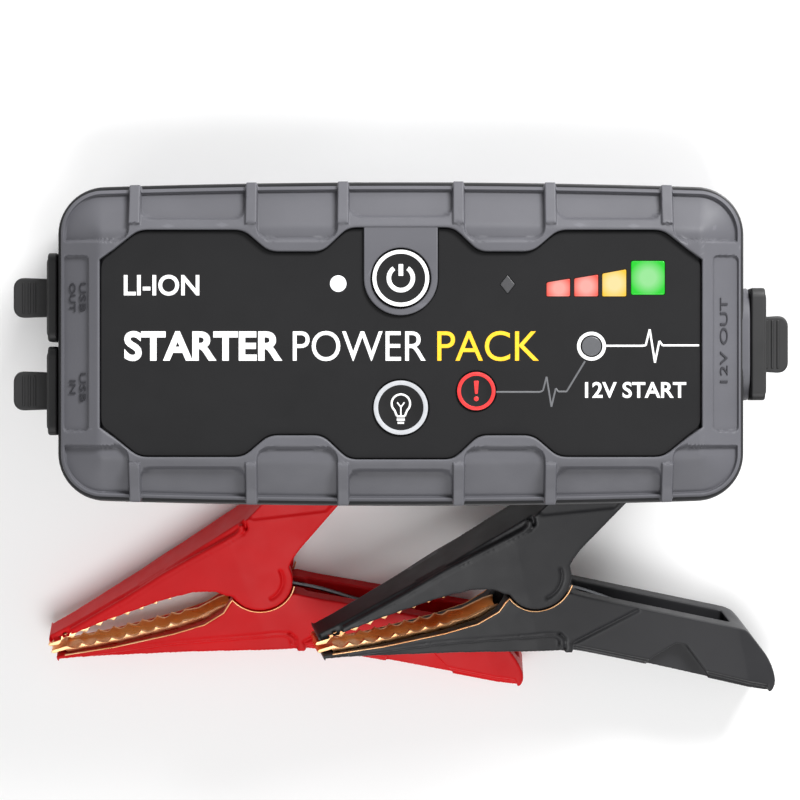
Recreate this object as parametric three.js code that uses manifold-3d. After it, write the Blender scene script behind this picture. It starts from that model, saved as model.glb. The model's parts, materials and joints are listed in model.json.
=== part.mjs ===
// Handheld lithium jump starter with two battery clamps, laid out ready for use.
// The case leans on its far long edge, and its near edge rests over the clamps' handles.
// Units are millimetres, +Z is up and the table is z = 0.

import * as THREE from 'three';
import { mergeVertices } from 'three/addons/utils/BufferGeometryUtils.js';
import Module from 'manifold-3d';

const wasm = await Module();
wasm.setup();

// ---------------------------------------------------------------- driving dimensions

const GAP = 0.3; // clearance between touching pieces

const CASE = {
  halfLength: 86.3,
  halfWidth: 40.75,
  bow: 0.6, // how far each long side swells past its ends
  cornerRadius: 12,
  lean: THREE.MathUtils.degToRad(24),
};

// heights inside the case, measured from its back
const LEVEL = {
  back: 1.5,
  rearStep: 12,
  split: 16,
  frontStep: 32.7,
  wallInside: 39.7,
  wallOutside: 42.2,
  panelTop: 43.5,
  top: 45,
};

const WALL = 2.5;
const BUMPER = {
  inset: 1.3,
  neck: 4.5, // inset of the housing that the bumper wraps around
  slopeWidth: 10,
  slopeDrop: 5,
  pocketDepth: 1.5,
  rimWidth: 1,
  ribWidth: 2.8,
  ribProud: 0.4,
  backSlopeWidth: 4,
  backOpening: 14,
};
const NECK_SLOPE = { width: 7, drop: 3.8 };
const RIB_X = [14.4, 37.3, 66.4];

// the pockets between the ribs: x from, x to, distance of the inner edge from the middle
const POCKETS = [
  { from: -13.0, to: 13.0, inner: 31.6 },
  { from: 15.8, to: 35.8, inner: 26.0 },
  { from: 38.8, to: 65.0, inner: 31.0 },
  { from: 67.8, to: 90.0, inner: 25.6 },
];
const END_POCKET = { from: 77.9, to: 84.3, halfWidth: 21.9, depth: 1 };

const PANEL = { halfLength: 74.7, thickness: 1 };
const TONGUE = { y: 16.2, radius: 9.2, top: 44.6 };

const POWER_BUTTON = { x: 0, y: 16.2, radius: 7.2, top: 45.3, thickness: 1.9, travel: 0.8 };
const LIGHT_BUTTON = { x: 0, y: -16, radius: 6.9, top: 44.1, thickness: 1, travel: 0.5 };
const OVERRIDE_BUTTON = { x: 18.8, y: -11.9, radius: 4.9, top: 44.1, thickness: 1, travel: 0.5 };
const STEM_RADIUS = 1.8;
const SWITCH_TOP = 33;

const LENS_TOP = 43.8;
const LENS_BOTTOM = 40.2;

const PORT_Z = 24.5; // height of the port centres
const USB_OUT_Y = 11.8;
const USB_IN_Y = -11.8;
const COVER = { thickness: 2.4, height: 15.6, width: 22.4, tabReach: 98.2 };
const OUTLET = { bossReach: 88, bossWidth: 28.4, bossHeight: 16.2, coverThickness: 3.6 };

const SCREWS = [[-66, -20], [66, -20], [-66, 20], [66, 20]];
const BOARD = { bottom: 28.1, top: 29.7 };

const CLAMP = {
  scale: 1.03, // true size of the clamp against the outline points below
  halfThickness: 7.5,
  tipHalfThickness: 4.9,
  endHalfThickness: 6,
  axisOffset: 2.7, // the jaws close on a line this far below the pivot
  channel: 3.7,
  bossRadius: 8.6,
  cheekInside: 4.7,
  lugOutside: 4.4,
  lugInside: 2.8,
  lugRadius: 6,
  pinRadius: 2,
  pinHalfLength: 6.5,
};
const RED_CLAMP = { x: -37.7, y: -68, yaw: THREE.MathUtils.degToRad(19) };
const BLACK_CLAMP = {
  x: 34.8,
  y: -62,
  yaw: THREE.MathUtils.degToRad(12),
  tipLift: THREE.MathUtils.degToRad(13.3), // its jaws lie on the red clamp's lower handle
};

// ---------------------------------------------------------------- materials

function material(color, roughness, metalness = 0) {
  return new THREE.MeshStandardMaterial({ color, roughness, metalness });
}

const MATERIALS = {
  blackPlastic: material(0x232325, 0.55),
  greyRubber: material(0x68686c, 0.6),
  panel: material(0x2b2b2d, 0.45),
  seal: material(0x3a3a3c, 0.8),
  coverRubber: material(0x161617, 0.65),
  button: material(0x242426, 0.5),
  switch: material(0x3c3c40, 0.4),
  whiteLens: material(0xf4f6f8, 0.2),
  redLens: material(0xd8543c, 0.25),
  yellowLens: material(0xe8b64a, 0.25),
  greenLens: material(0x46c25e, 0.25),
  cell: material(0x9aa0a8, 0.35, 0.6),
  board: material(0x1f5a3a, 0.5),
  relay: material(0x2c3e66, 0.45),
  aluminium: material(0xb8bcc0, 0.35, 1),
  steel: material(0xa8abb0, 0.3, 1),
  brass: material(0xc9a24a, 0.3, 1),
  copper: material(0xd9945a, 0.3, 1),
  redPlastic: material(0xb81d24, 0.4),
  clampBlack: material(0x2a2a2c, 0.45),
  clearLens: material(0xdfe6ea, 0.1),
};

// ---------------------------------------------------------------- solid helpers

function solid(geometry) {
  const bare = geometry.index ? geometry.clone() : geometry;
  bare.deleteAttribute('normal');
  bare.deleteAttribute('uv');
  const merged = mergeVertices(bare, 1e-5);
  const vertProperties = new Float32Array(merged.attributes.position.array);
  const triVerts = new Uint32Array(merged.index.array);
  return new wasm.Manifold(new wasm.Mesh({ numProp: 3, vertProperties, triVerts }));
}

function prism(shape, from, to, curveSegments = 3) {
  const geometry = new THREE.ExtrudeGeometry(shape, {
    depth: to - from,
    bevelEnabled: false,
    curveSegments,
  });
  return solid(geometry.translate(0, 0, from));
}

function box(x0, x1, y0, y1, z0, z1) {
  const geometry = new THREE.BoxGeometry(x1 - x0, y1 - y0, z1 - z0);
  return solid(geometry.translate((x0 + x1) / 2, (y0 + y1) / 2, (z0 + z1) / 2));
}

// a round bar along Z
function bar(radius, x, y, from, to, sides = 20) {
  const geometry = new THREE.CylinderGeometry(radius, radius, to - from, sides);
  geometry.rotateX(Math.PI / 2);
  return solid(geometry.translate(x, y, (from + to) / 2));
}

// a prism whose section lies in the YZ plane and which runs along X
function prismAlongX(shape, from, to, curveSegments = 4) {
  const geometry = new THREE.ExtrudeGeometry(shape, {
    depth: to - from,
    bevelEnabled: false,
    curveSegments,
  });
  geometry.rotateX(Math.PI / 2);
  geometry.rotateZ(Math.PI / 2);
  return solid(geometry.translate(from, 0, 0));
}

function join(...solids) {
  return solids.reduce((whole, piece) => whole.add(piece));
}

function mesh(name, body, meshMaterial) {
  const data = body.getMesh();
  const geometry = new THREE.BufferGeometry();
  geometry.setAttribute('position', new THREE.BufferAttribute(data.vertProperties, 3));
  geometry.setIndex(new THREE.BufferAttribute(data.triVerts, 1));
  geometry.computeVertexNormals();
  const result = new THREE.Mesh(geometry, meshMaterial);
  result.name = name;
  return result;
}

// ---------------------------------------------------------------- outlines

// the case outline, drawn in by `inset`: bowed long sides and round corners
function caseOutline(inset) {
  const a = CASE.halfLength - inset;
  const r = Math.max(CASE.cornerRadius - inset, 0.5);
  const middle = CASE.halfWidth - inset;
  const end = middle - CASE.bow * 2;
  const control = 2 * middle - end;
  const shape = new THREE.Shape();
  shape.moveTo(-(a - r), -end);
  shape.quadraticCurveTo(0, -control, a - r, -end);
  shape.absarc(a - r, -end + r, r, -Math.PI / 2, 0);
  shape.lineTo(a, end - r);
  shape.absarc(a - r, end - r, r, 0, Math.PI / 2);
  shape.quadraticCurveTo(0, control, -(a - r), end);
  shape.absarc(-(a - r), end - r, r, Math.PI / 2, Math.PI);
  shape.lineTo(-a, -end + r);
  shape.absarc(-(a - r), -end + r, r, Math.PI, Math.PI * 1.5);
  return shape;
}

// a block with the case outline whose top edge, or both edges, slope inwards
function slopedBlock(inset, slopeWidth, slopeDrop, bottom, top) {
  const geometry = new THREE.ExtrudeGeometry(caseOutline(inset + slopeWidth), {
    depth: top - bottom,
    bevelEnabled: true,
    bevelSize: slopeWidth,
    bevelThickness: slopeDrop,
    bevelSegments: 1,
    curveSegments: 3,
  });
  geometry.translate(0, 0, bottom - slopeDrop);
  return solid(geometry);
}

// a closed outline through corner points, each corner rounded by `radius`
function roundedOutline(corners, radius) {
  const points = corners.map(([x, y]) => new THREE.Vector2(x, y));
  const shape = new THREE.Shape();
  points.forEach((corner, index) => {
    const before = points[(index + points.length - 1) % points.length];
    const after = points[(index + 1) % points.length];
    const cutIn = Math.min(radius, corner.distanceTo(before) / 2.2);
    const cutOut = Math.min(radius, corner.distanceTo(after) / 2.2);
    const start = corner.clone().add(before.clone().sub(corner).setLength(cutIn));
    const finish = corner.clone().add(after.clone().sub(corner).setLength(cutOut));
    if (index === 0) {
      shape.moveTo(start.x, start.y);
    } else {
      shape.lineTo(start.x, start.y);
    }
    shape.quadraticCurveTo(corner.x, corner.y, finish.x, finish.y);
  });
  shape.closePath();
  return shape;
}

function roundedRect(x0, x1, y0, y1, radius) {
  return roundedOutline([[x0, y0], [x1, y0], [x1, y1], [x0, y1]], radius);
}

function polygon(corners) {
  return new THREE.Shape(corners.map(([x, y]) => new THREE.Vector2(x, y)));
}

// the wavy edge of the face panel, widened all round by `grow`
function panelOutline(grow) {
  const quarter = [
    [PANEL.halfLength + grow, 20.5],
    [71.8 + grow, 22.6 + grow],
    [65.3, 28 + grow],
    [39.3 - grow / 2, 28 + grow],
    [33 - grow / 2, 22.6 + grow],
    [19.3 + grow / 2, 22.6 + grow],
    [13 + grow / 2, 28.6 + grow],
  ];
  const flipX = ([x, y]) => [-x, y];
  const flipY = ([x, y]) => [x, -y];
  const upperLeft = quarter.map(flipX).reverse();
  const upper = [...quarter, ...upperLeft];
  const lower = upper.map(flipY).reverse();
  return roundedOutline([...upper, ...lower], 2.2);
}

// the tongue that reaches down from the frame round the power button, widened by `grow`
function tongueOutline(grow) {
  const r = TONGUE.radius + grow;
  const shape = new THREE.Shape();
  shape.moveTo(-r, 29.7);
  shape.lineTo(-r, TONGUE.y);
  shape.absarc(0, TONGUE.y, r, Math.PI, Math.PI * 2);
  shape.lineTo(r, 29.7);
  return shape;
}

// ---------------------------------------------------------------- case shells

function buttonStemHoles() {
  const buttons = [POWER_BUTTON, LIGHT_BUTTON, OVERRIDE_BUTTON];
  return join(...buttons.map(({ x, y }) => bar(STEM_RADIUS + 0.6, x, y, 30, 50, 12)));
}

// the outlines of the light windows in the face, each widened by `grow`
function lensShapes(grow) {
  const disc = (x, y, radius) => {
    const shape = new THREE.Shape();
    shape.absarc(x, y, radius + grow, 0, Math.PI * 2);
    return shape;
  };
  const quad = (x0, x1, y0, leftTop, rightTop) => polygon([
    [x0 - grow, y0 - grow],
    [x1 + grow, y0 - grow],
    [x1 + grow, rightTop + grow],
    [x0 - grow, leftTop + grow],
  ]);
  const diamond = polygon([
    [26.6 - 1.9 - grow, 14.7],
    [26.6, 14.7 - 2.4 - grow],
    [26.6 + 1.9 + grow, 14.7],
    [26.6, 14.7 + 2.4 + grow],
  ]);
  return {
    status_lens: disc(-15.6, 14.9, 2.1),
    error_lens: diamond,
    boost_lens: disc(47.5, -0.7, 2.5),
    charge_lens_1: quad(36.3, 42.2, 11.7, 15.2, 16.2),
    charge_lens_2: quad(43.2, 49.2, 11.7, 16.2, 17.2),
    charge_lens_3: quad(50.2, 56.2, 11.7, 17.4, 18.5),
    charge_lens_4: quad(57.4, 65.8, 12.1, 20.6, 20.6),
  };
}

function lensHoles(from, to) {
  return join(...Object.values(lensShapes(GAP)).map((shape) => prism(shape, from, to, 5)));
}

function stadium(halfWidth, halfHeight, y, z) {
  const r = halfHeight;
  const shape = new THREE.Shape();
  // drawn with the section's first axis along Y and its second along Z
  shape.absarc(y + halfWidth - r, z, r, -Math.PI / 2, Math.PI / 2);
  shape.absarc(y - halfWidth + r, z, r, Math.PI / 2, Math.PI * 1.5);
  return shape;
}

function frontHousing() {
  const belt = prism(caseOutline(0), LEVEL.split + GAP / 2, LEVEL.frontStep);
  const neck = slopedBlock(BUMPER.neck, NECK_SLOPE.width, NECK_SLOPE.drop, 20, LEVEL.wallOutside);
  const front = neck.intersect(box(-100, 100, -60, 60, LEVEL.split + 4, 60));
  const boss = prismAlongX(
    stadium(OUTLET.bossWidth / 2, OUTLET.bossHeight / 2, 0, PORT_Z), 80, OUTLET.bossReach, 6);
  const lowRoom = prism(caseOutline(WALL), 0, 30.2);
  const highRoom = prism(caseOutline(BUMPER.neck + WALL), 0, LEVEL.wallInside - 1);
  const roof = prism(caseOutline(BUMPER.neck + 9), 0, LEVEL.wallInside);
  let shell = join(belt, front, boss).subtract(join(lowRoom, highRoom, roof));
  for (const [x, y] of SCREWS) {
    shell = shell.add(bar(3.4, x, y, LEVEL.split + 1, LEVEL.wallInside + 1, 12));
    shell = shell.subtract(bar(1.6, x, y, 10, 32, 10));
  }
  const grooveTop = LEVEL.split + 0.6;
  const groove = prism(caseOutline(0.7), 10, grooveTop).subtract(prism(caseOutline(1.9), 0, 20));
  const outHole = box(-100, -80, USB_OUT_Y - 7.3, USB_OUT_Y + 7.3, PORT_Z - 3.8, PORT_Z + 3.8);
  const inHole = box(-100, -80, USB_IN_Y - 5.2, USB_IN_Y + 5.2, PORT_Z - 2.8, PORT_Z + 2.8);
  const outletHole = prismAlongX(stadium(11.5, 6, 0, PORT_Z), 70, 100, 5);
  const lampHole = box(-13.5, 13.5, 30, 60, 19.3, 29.7);
  const holes = join(
    groove, outHole, inHole, outletHole, lampHole, buttonStemHoles(), lensHoles(36, 50));
  return shell.subtract(holes);
}

function rearHousing() {
  const belt = prism(caseOutline(0), LEVEL.rearStep + GAP, LEVEL.split - GAP / 2);
  const neck = prism(caseOutline(BUMPER.neck), LEVEL.back, LEVEL.rearStep + 1);
  const room = prism(caseOutline(BUMPER.neck + WALL), LEVEL.back + WALL, 40);
  const wideRoom = prism(caseOutline(WALL), LEVEL.rearStep + WALL, 40);
  let shell = join(belt, neck).subtract(join(room, wideRoom));
  for (const [x, y] of SCREWS) {
    shell = shell.add(bar(4.2, x, y, LEVEL.back + 1, LEVEL.split - 1, 14));
    shell = shell.subtract(bar(1.9, x, y, 0, 20, 10));
    shell = shell.subtract(bar(3.1, x, y, 0, 4.2, 14));
  }
  const grooveFrom = LEVEL.split - 0.6;
  const groove = prism(caseOutline(0.7), grooveFrom, 20).subtract(prism(caseOutline(1.9), 0, 21));
  return shell.subtract(groove);
}

function housingSeal() {
  const ring = prism(caseOutline(0.9), LEVEL.split - 0.3, LEVEL.split + 0.3);
  return ring.subtract(prism(caseOutline(1.7), 0, 30));
}

// ---------------------------------------------------------------- bumpers

// ribs that cross the bumper from the rim to its inner edge, on both long sides
function ribs(block, from, to) {
  const slabs = [];
  for (const x of RIB_X) {
    for (const side of [-1, 1]) {
      const middle = side * x;
      const half = BUMPER.ribWidth / 2;
      slabs.push(box(middle - half, middle + half, 29.8, 60, from, to));
      slabs.push(box(middle - half, middle + half, -60, -29.8, from, to));
    }
  }
  return block.intersect(join(...slabs));
}

function pocketPrisms(from, to) {
  const shapes = [];
  for (const { from: x0, to: x1, inner } of POCKETS) {
    const sides = x0 < 0 ? [1] : [-1, 1];
    for (const side of sides) {
      const left = Math.min(side * x0, side * x1);
      const right = Math.max(side * x0, side * x1);
      shapes.push(roundedRect(left, right, inner, 60, 3));
      shapes.push(roundedRect(left, right, -60, -inner, 3));
    }
  }
  const cutters = join(...shapes.map((shape) => prism(shape, from, to, 2)));
  return cutters.intersect(prism(caseOutline(BUMPER.inset + BUMPER.rimWidth), from, to));
}

function frontBumper() {
  const { inset, slopeWidth, slopeDrop, pocketDepth } = BUMPER;
  const bottom = LEVEL.frontStep + GAP;
  const above = box(-100, 100, -60, 60, bottom, 60);
  const outer = slopedBlock(inset, slopeWidth, slopeDrop, 20, LEVEL.top);
  const floor = slopedBlock(inset, slopeWidth, slopeDrop, 20, LEVEL.top - pocketDepth);
  const ribBlock = slopedBlock(-0.2, slopeWidth, slopeDrop, 20, LEVEL.top + BUMPER.ribProud);
  const pockets = pocketPrisms(30, 60).subtract(floor);
  const endFloor = slopedBlock(inset, slopeWidth, slopeDrop, 20, LEVEL.top - END_POCKET.depth);
  const { from, to, halfWidth } = END_POCKET;
  const endPockets = join(
    box(from, to, -halfWidth, halfWidth, 30, 60),
    box(-to, -from, -halfWidth, halfWidth, 30, 60),
  ).subtract(endFloor);
  let body = outer.subtract(join(pockets, endPockets));
  body = body.add(ribs(ribBlock, 20, 60)).intersect(above);
  body = body.subtract(prism(panelOutline(GAP), 0, 60, 2));
  const tongueBody = prism(tongueOutline(0), LEVEL.wallOutside + GAP, TONGUE.top, 8);
  body = body.add(tongueBody);
  body = body.subtract(bar(POWER_BUTTON.radius + GAP, 0, TONGUE.y, 20, 60, 28));
  const housingRoom = slopedBlock(
    BUMPER.neck - GAP, NECK_SLOPE.width, NECK_SLOPE.drop, 10, LEVEL.wallOutside + GAP);
  return body.subtract(housingRoom);
}

function rearBumper() {
  const { inset, backSlopeWidth, neck, backOpening } = BUMPER;
  const drop = backSlopeWidth * Math.tan(CASE.lean);
  const below = box(-100, 100, -60, 60, -5, LEVEL.rearStep);
  const outer = slopedBlock(inset, backSlopeWidth, drop, drop * 2, 60);
  const ribBlock = slopedBlock(-0.2, backSlopeWidth + 0.9, drop, drop * 2 + 0.17, 60);
  const pockets = pocketPrisms(-5, 60).intersect(box(-100, 100, -60, 60, -5, 1.25));
  let body = outer.subtract(pockets);
  body = body.add(ribs(ribBlock, -5, 60)).intersect(below);
  body = body.subtract(prism(caseOutline(backOpening), -5, 60));
  return body.subtract(prism(caseOutline(neck - GAP), LEVEL.back - GAP, 60));
}

// ---------------------------------------------------------------- face

function facePanel() {
  const bottom = LEVEL.wallOutside + GAP;
  let panel = prism(panelOutline(0), bottom, LEVEL.panelTop, 2);
  panel = panel.subtract(prism(tongueOutline(GAP), 30, 60, 8));
  for (const { x, y, radius } of [LIGHT_BUTTON, OVERRIDE_BUTTON]) {
    panel = panel.subtract(bar(radius + GAP, x, y, 30, 60, 24));
  }
  return panel.subtract(lensHoles(30, 60));
}

function button({ x, y, radius, top, thickness, travel }) {
  const stemEnd = SWITCH_TOP + GAP + travel;
  return join(
    bar(radius, x, y, top - thickness, top, 24),
    bar(STEM_RADIUS, x, y, stemEnd, top - thickness / 2, 12),
  );
}

function pushSwitch({ x, y }) {
  return join(
    box(x - 3, x + 3, y - 3, y + 3, BOARD.top + GAP, SWITCH_TOP - 0.8),
    bar(1.7, x, y, BOARD.top + 1, SWITCH_TOP, 12),
  );
}

// ---------------------------------------------------------------- inside the case

function circuitBoard() {
  let board = box(-68, 60, -26, 26, BOARD.bottom, BOARD.top);
  board = board.add(box(-76, -60, -24, 24, BOARD.bottom, BOARD.top));
  for (const [x, y] of SCREWS) {
    board = board.subtract(bar(4, x, y, 20, 40, 14));
  }
  return board;
}

function batteryCell(index) {
  const bottom = 4.6 + index * 6.3;
  const pouch = roundedRect(-52, 52, -24, 24, 3);
  return prism(pouch, bottom, bottom + 6, 2);
}

function heatSink() {
  const base = box(-52, -22, -12, 12, BOARD.top + GAP, BOARD.top + 2);
  const fins = [];
  for (let y = -11; y <= 11; y += 4.4) {
    fins.push(box(-52, -22, y - 0.6, y + 0.6, BOARD.top + 1, BOARD.top + 7.5));
  }
  return join(base, ...fins);
}

function relay() {
  const body = box(38, 58, -9.5, 9.5, BOARD.top + GAP, 38.4);
  return body.subtract(lensHoles(37, 50));
}

// a metal port shell with a contact tongue, open towards -X
function portSocket(y, halfWidth, halfHeight, tongueHeight) {
  const back = -70;
  const front = -84.4;
  const shell = box(front, back, y - halfWidth, y + halfWidth, PORT_Z - halfHeight, PORT_Z + halfHeight);
  const hollow = box(
    front - 1, back - 1.5,
    y - halfWidth + 0.4, y + halfWidth - 0.4,
    PORT_Z - halfHeight + 0.4, PORT_Z + halfHeight - 0.4);
  const tongue = box(
    front + 2, back - 1,
    y - halfWidth + 1.2, y + halfWidth - 1.2,
    PORT_Z + 0.2, PORT_Z + 0.2 + tongueHeight);
  return shell.subtract(hollow).add(tongue);
}

function outputSocket() {
  const front = OUTLET.bossReach - 0.6;
  const insert = prismAlongX(stadium(11.2, 5.7, 0, PORT_Z), 68, front, 5);
  const recess = prismAlongX(stadium(9.8, 4.4, 0, PORT_Z), 74, front + 5, 5);
  let body = insert.subtract(recess);
  for (const y of [-6, 6]) {
    const bore = prismAlongX(stadium(2.3 + GAP, 2.3 + GAP, y, PORT_Z), 60, 80, 5);
    body = body.subtract(bore);
  }
  return body;
}

function outputContact(y) {
  const pin = prismAlongX(stadium(2.3, 2.3, y, PORT_Z), 64, 84, 5);
  const bore = prismAlongX(stadium(1.5, 1.5, y, PORT_Z), 76, 90, 4);
  return pin.subtract(bore);
}

function lampReflector() {
  let body = box(-12.8, 12.8, 31, 38.8, 19.8, 29.2);
  for (const x of [-6.2, 6.2]) {
    const cup = new THREE.LatheGeometry(
      [[0, 0], [1.6, 0], [3.1, 2.2], [4.1, 7.2], [4.1, 8.5], [0, 8.5]].map(
        ([r, h]) => new THREE.Vector2(r, h)), 16);
    body = body.subtract(solid(cup.translate(x, 31.8, 24.5)));
    body = body.subtract(solid(new THREE.CylinderGeometry(1.6, 1.6, 3, 16).translate(x, 31.5, 24.5)));
  }
  return body;
}

function lampLed(x) {
  return box(x - 1.1, x + 1.1, 30, 31.8, 23.4, 25.6);
}

function lampLens() {
  return box(-13.1, 13.1, 39.1, 40.9, 19.7, 29.3);
}

function housingScrew([x, y]) {
  const head = bar(2.8, x, y, 1.9, 3.9, 14);
  const drive = bar(1.2, x, y, 1, 3, 6);
  return join(head.subtract(drive), bar(1.3, x, y, 3.5, 26, 10));
}

// ---------------------------------------------------------------- port covers

function portCover(side, y, face, thickness, halfWidth, halfHeight, tabHalfWidth, plug) {
  const along = (from, to) => [Math.min(side * from, side * to), Math.max(side * from, side * to)];
  const [f0, f1] = along(face + GAP, face + GAP + thickness);
  const flange = prismAlongX(
    roundedRect(y - halfWidth, y + halfWidth, PORT_Z - halfHeight, PORT_Z + halfHeight, 2.5),
    f0, f1, 3);
  const [t0, t1] = along(face + GAP + thickness / 2, COVER.tabReach);
  const tab = box(t0, t1, y - tabHalfWidth, y + tabHalfWidth, PORT_Z - 1.4, PORT_Z + 1.4);
  const [p0, p1] = along(face - plug.depth, face + GAP + thickness / 2);
  const stopper = box(
    p0, p1, y - plug.halfWidth, y + plug.halfWidth, PORT_Z - plug.halfHeight, PORT_Z + plug.halfHeight);
  return join(flange, tab, stopper);
}

// ---------------------------------------------------------------- clamps

// points on the clamp's side view: x runs from the jaws to the handles, and y away from the
// line that the jaws close on. The lower arm is the mirror image of the upper one.
const ARM_INNER = [[-58.5, 2.0], [-43, 3.9], [-27, 5.0], [-18, 4.9], [-12, 3.2], [-9.4, 0.9]];
const ARM_HANDLE = [
  [11.4, 6.8], [46.3, 29.0], [48.6, 32.0], [51.2, 41.0], [51.0, 46.2], [48.5, 50.0],
];
const ARM_OUTER = [
  [27.0, 35.4], [16.5, 28.6], [4.5, 20.8], [0.0, 19.3], [-25.7, 11.8], [-33.0, 9.9],
  [-52.0, 4.9], [-58.5, 3.6],
];
const CHANNEL_OUTER = [
  [44.5, 43.0], [28.0, 32.6], [14.0, 23.6], [2.0, 17.2], [-24.0, 9.4], [-40.0, 6.0],
  [-56.0, 2.9],
];

// the lower arm's handle opens less widely than the upper one's and reaches further
const LOWER_HANDLE = [
  [11.4, 6.4], [49.0, 28.0], [50.9, 29.6], [55.5, 40.2], [56.0, 47.0], [53.8, 49.6],
];
const LOWER_OUTER = [[27.0, 33.4], [16.5, 27.2], [4.5, 20.4], ...ARM_OUTER.slice(3)];
const LOWER_CHANNEL_OUTER = [[44.5, 40.6], [28.0, 30.8], [14.0, 22.4], ...CHANNEL_OUTER.slice(3)];

// the same points as a polygon, flipped for the lower arm, with the pivot at the origin
function armPolygon(points, side) {
  return polygon(points.map(([x, y]) => [x, side * y - CLAMP.axisOffset]));
}

function planTaper() {
  const t = CLAMP.halfThickness;
  const tip = CLAMP.tipHalfThickness;
  const end = CLAMP.endHalfThickness;
  const plan = polygon([
    [-60, -tip], [-4, -t], [48.6, -t], [57, -end], [57, end], [48.6, t], [-4, t], [-60, tip],
  ]);
  const slab = new THREE.ExtrudeGeometry(plan, { depth: 140, bevelEnabled: false });
  slab.rotateX(Math.PI / 2);
  return solid(slab.translate(0, 70, 0));
}

function armBlank(side, pivotSide, handle, outer) {
  const outline = armPolygon([...ARM_INNER, ...pivotSide, ...handle, ...outer], side);
  return prism(outline, -CLAMP.halfThickness, CLAMP.halfThickness);
}

function armChannel(side, outer) {
  const outline = armPolygon([[-56, -6], [-12, -6], [14, 2], [47, 24], [47.5, 38], ...outer], side);
  return prism(outline, -CLAMP.channel, CLAMP.channel);
}

function leadInlet(side) {
  const hole = new THREE.CylinderGeometry(3, 3, 20, 12);
  hole.rotateZ(-Math.PI / 2 + (side * Math.PI) / 6);
  return solid(hole.translate(50, side * 37 - CLAMP.axisOffset, 0));
}

function upperArm() {
  const t = CLAMP.halfThickness;
  let arm = armBlank(1, [[-6, 0], [8, 3.3]], ARM_HANDLE, ARM_OUTER);
  arm = arm.add(bar(CLAMP.bossRadius, 0, 0, -t, t, 28));
  arm = arm.subtract(armChannel(1, CHANNEL_OUTER));
  arm = arm.subtract(bar(CLAMP.bossRadius + GAP, 0, 0, -CLAMP.cheekInside, CLAMP.cheekInside, 28));
  const bore = CLAMP.pinHalfLength + GAP;
  arm = arm.subtract(bar(CLAMP.pinRadius + GAP, 0, 0, -bore, bore, 14));
  return arm.subtract(leadInlet(1)).intersect(planTaper());
}

function lowerArm() {
  const t = CLAMP.halfThickness;
  const lugOut = CLAMP.lugOutside;
  let arm = armBlank(-1, [[-8, 0.4], [7.6, 3.9]], LOWER_HANDLE, LOWER_OUTER);
  const socket = bar(CLAMP.bossRadius + GAP, 0, 0, -t - 1, t + 1, 28);
  arm = arm.subtract(socket.subtract(box(-20, 20, -20, 20, -lugOut, lugOut)));
  arm = arm.add(bar(CLAMP.lugRadius, 0, 0, -lugOut, lugOut, 24));
  arm = arm.subtract(armChannel(-1, LOWER_CHANNEL_OUTER).subtract(box(-9.5, 9.5, -60, 60, -10, 10)));
  arm = arm.subtract(box(-10, 10, -14, 20, -CLAMP.lugInside, CLAMP.lugInside));
  arm = arm.subtract(bar(CLAMP.pinRadius + GAP, 0, 0, -t, t, 14));
  return arm.subtract(leadInlet(-1)).intersect(planTaper());
}

// height of the plastic's inner edge above the closing line
function jawEdge(x) {
  for (let i = 1; i < ARM_INNER.length; i += 1) {
    const [x0, y0] = ARM_INNER[i - 1];
    const [x1, y1] = ARM_INNER[i];
    if (x <= x1) {
      return y0 + ((y1 - y0) * (x - x0)) / (x1 - x0);
    }
  }
  return ARM_INNER[ARM_INNER.length - 1][1];
}

// the toothed edge of a copper jaw plate, from the nose to the pivot end
function toothedEdge(phase) {
  const pitch = 4;
  const reach = 0.7;
  const height = 1.1;
  const points = [];
  for (let x = -57 + phase * pitch; x < -22; x += pitch) {
    points.push([x, jawEdge(x) - reach]);
    points.push([x + pitch / 2, jawEdge(x + pitch / 2) - reach - height]);
  }
  points.push([-20, jawEdge(-20) - reach]);
  points.push([-14, jawEdge(-14) - reach]);
  points.push([-11.2, 3.0]);
  return points;
}

function copperJaw(side) {
  const back = [[-11.6, 5.2], [-18, 7.2], [-27, 7.4], [-43, 5.0], [-55.4, 2.5]];
  const nose = [[-55.8, 1.6], [-59.0, 1.6], [-59.5, 1.1], [-59.0, 0.6]];
  const outline = armPolygon([...toothedEdge(side > 0 ? 0.1 : 0.5), ...back, ...nose], side);
  const blank = prism(outline, -3.4, 3.4);
  const inner = armPolygon(
    [[-55, -4], [-9, -4], [-9, 4.4], [-18, 6.3], [-27, 6.5], [-43, 4.2], [-55, 1.8]], side);
  const body = blank.subtract(prism(inner, -2.6, 2.6));
  return body;
}

function pivotPin() {
  return bar(CLAMP.pinRadius, 0, 0, -CLAMP.pinHalfLength, CLAMP.pinHalfLength, 14);
}

// a wire coil around the pin with a leg along each handle
function torsionSpring() {
  const radius = 3.4;
  const turns = 3.28;
  const points = [];
  points.push(new THREE.Vector3(21, -18, -1.9));
  points.push(new THREE.Vector3(12, -11.2, -1.9));
  const start = -1.15;
  for (let i = 0; i <= 26; i += 1) {
    const t = i / 26;
    const angle = start - Math.PI * 0.37 - t * turns * Math.PI * 2 * -1;
    points.push(new THREE.Vector3(radius * Math.cos(angle), radius * Math.sin(angle), -1.9 + 3.8 * t));
  }
  points.push(new THREE.Vector3(10, 5.5, 1.9));
  points.push(new THREE.Vector3(19, 10.6, 1.9));
  const path = new THREE.CatmullRomCurve3(points);
  const section = new THREE.Shape();
  section.absarc(0, 0, 0.55, 0, Math.PI * 2);
  const wire = new THREE.ExtrudeGeometry(section, {
    steps: 46,
    extrudePath: path,
    bevelEnabled: false,
    curveSegments: 3,
  });
  return solid(wire);
}

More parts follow.
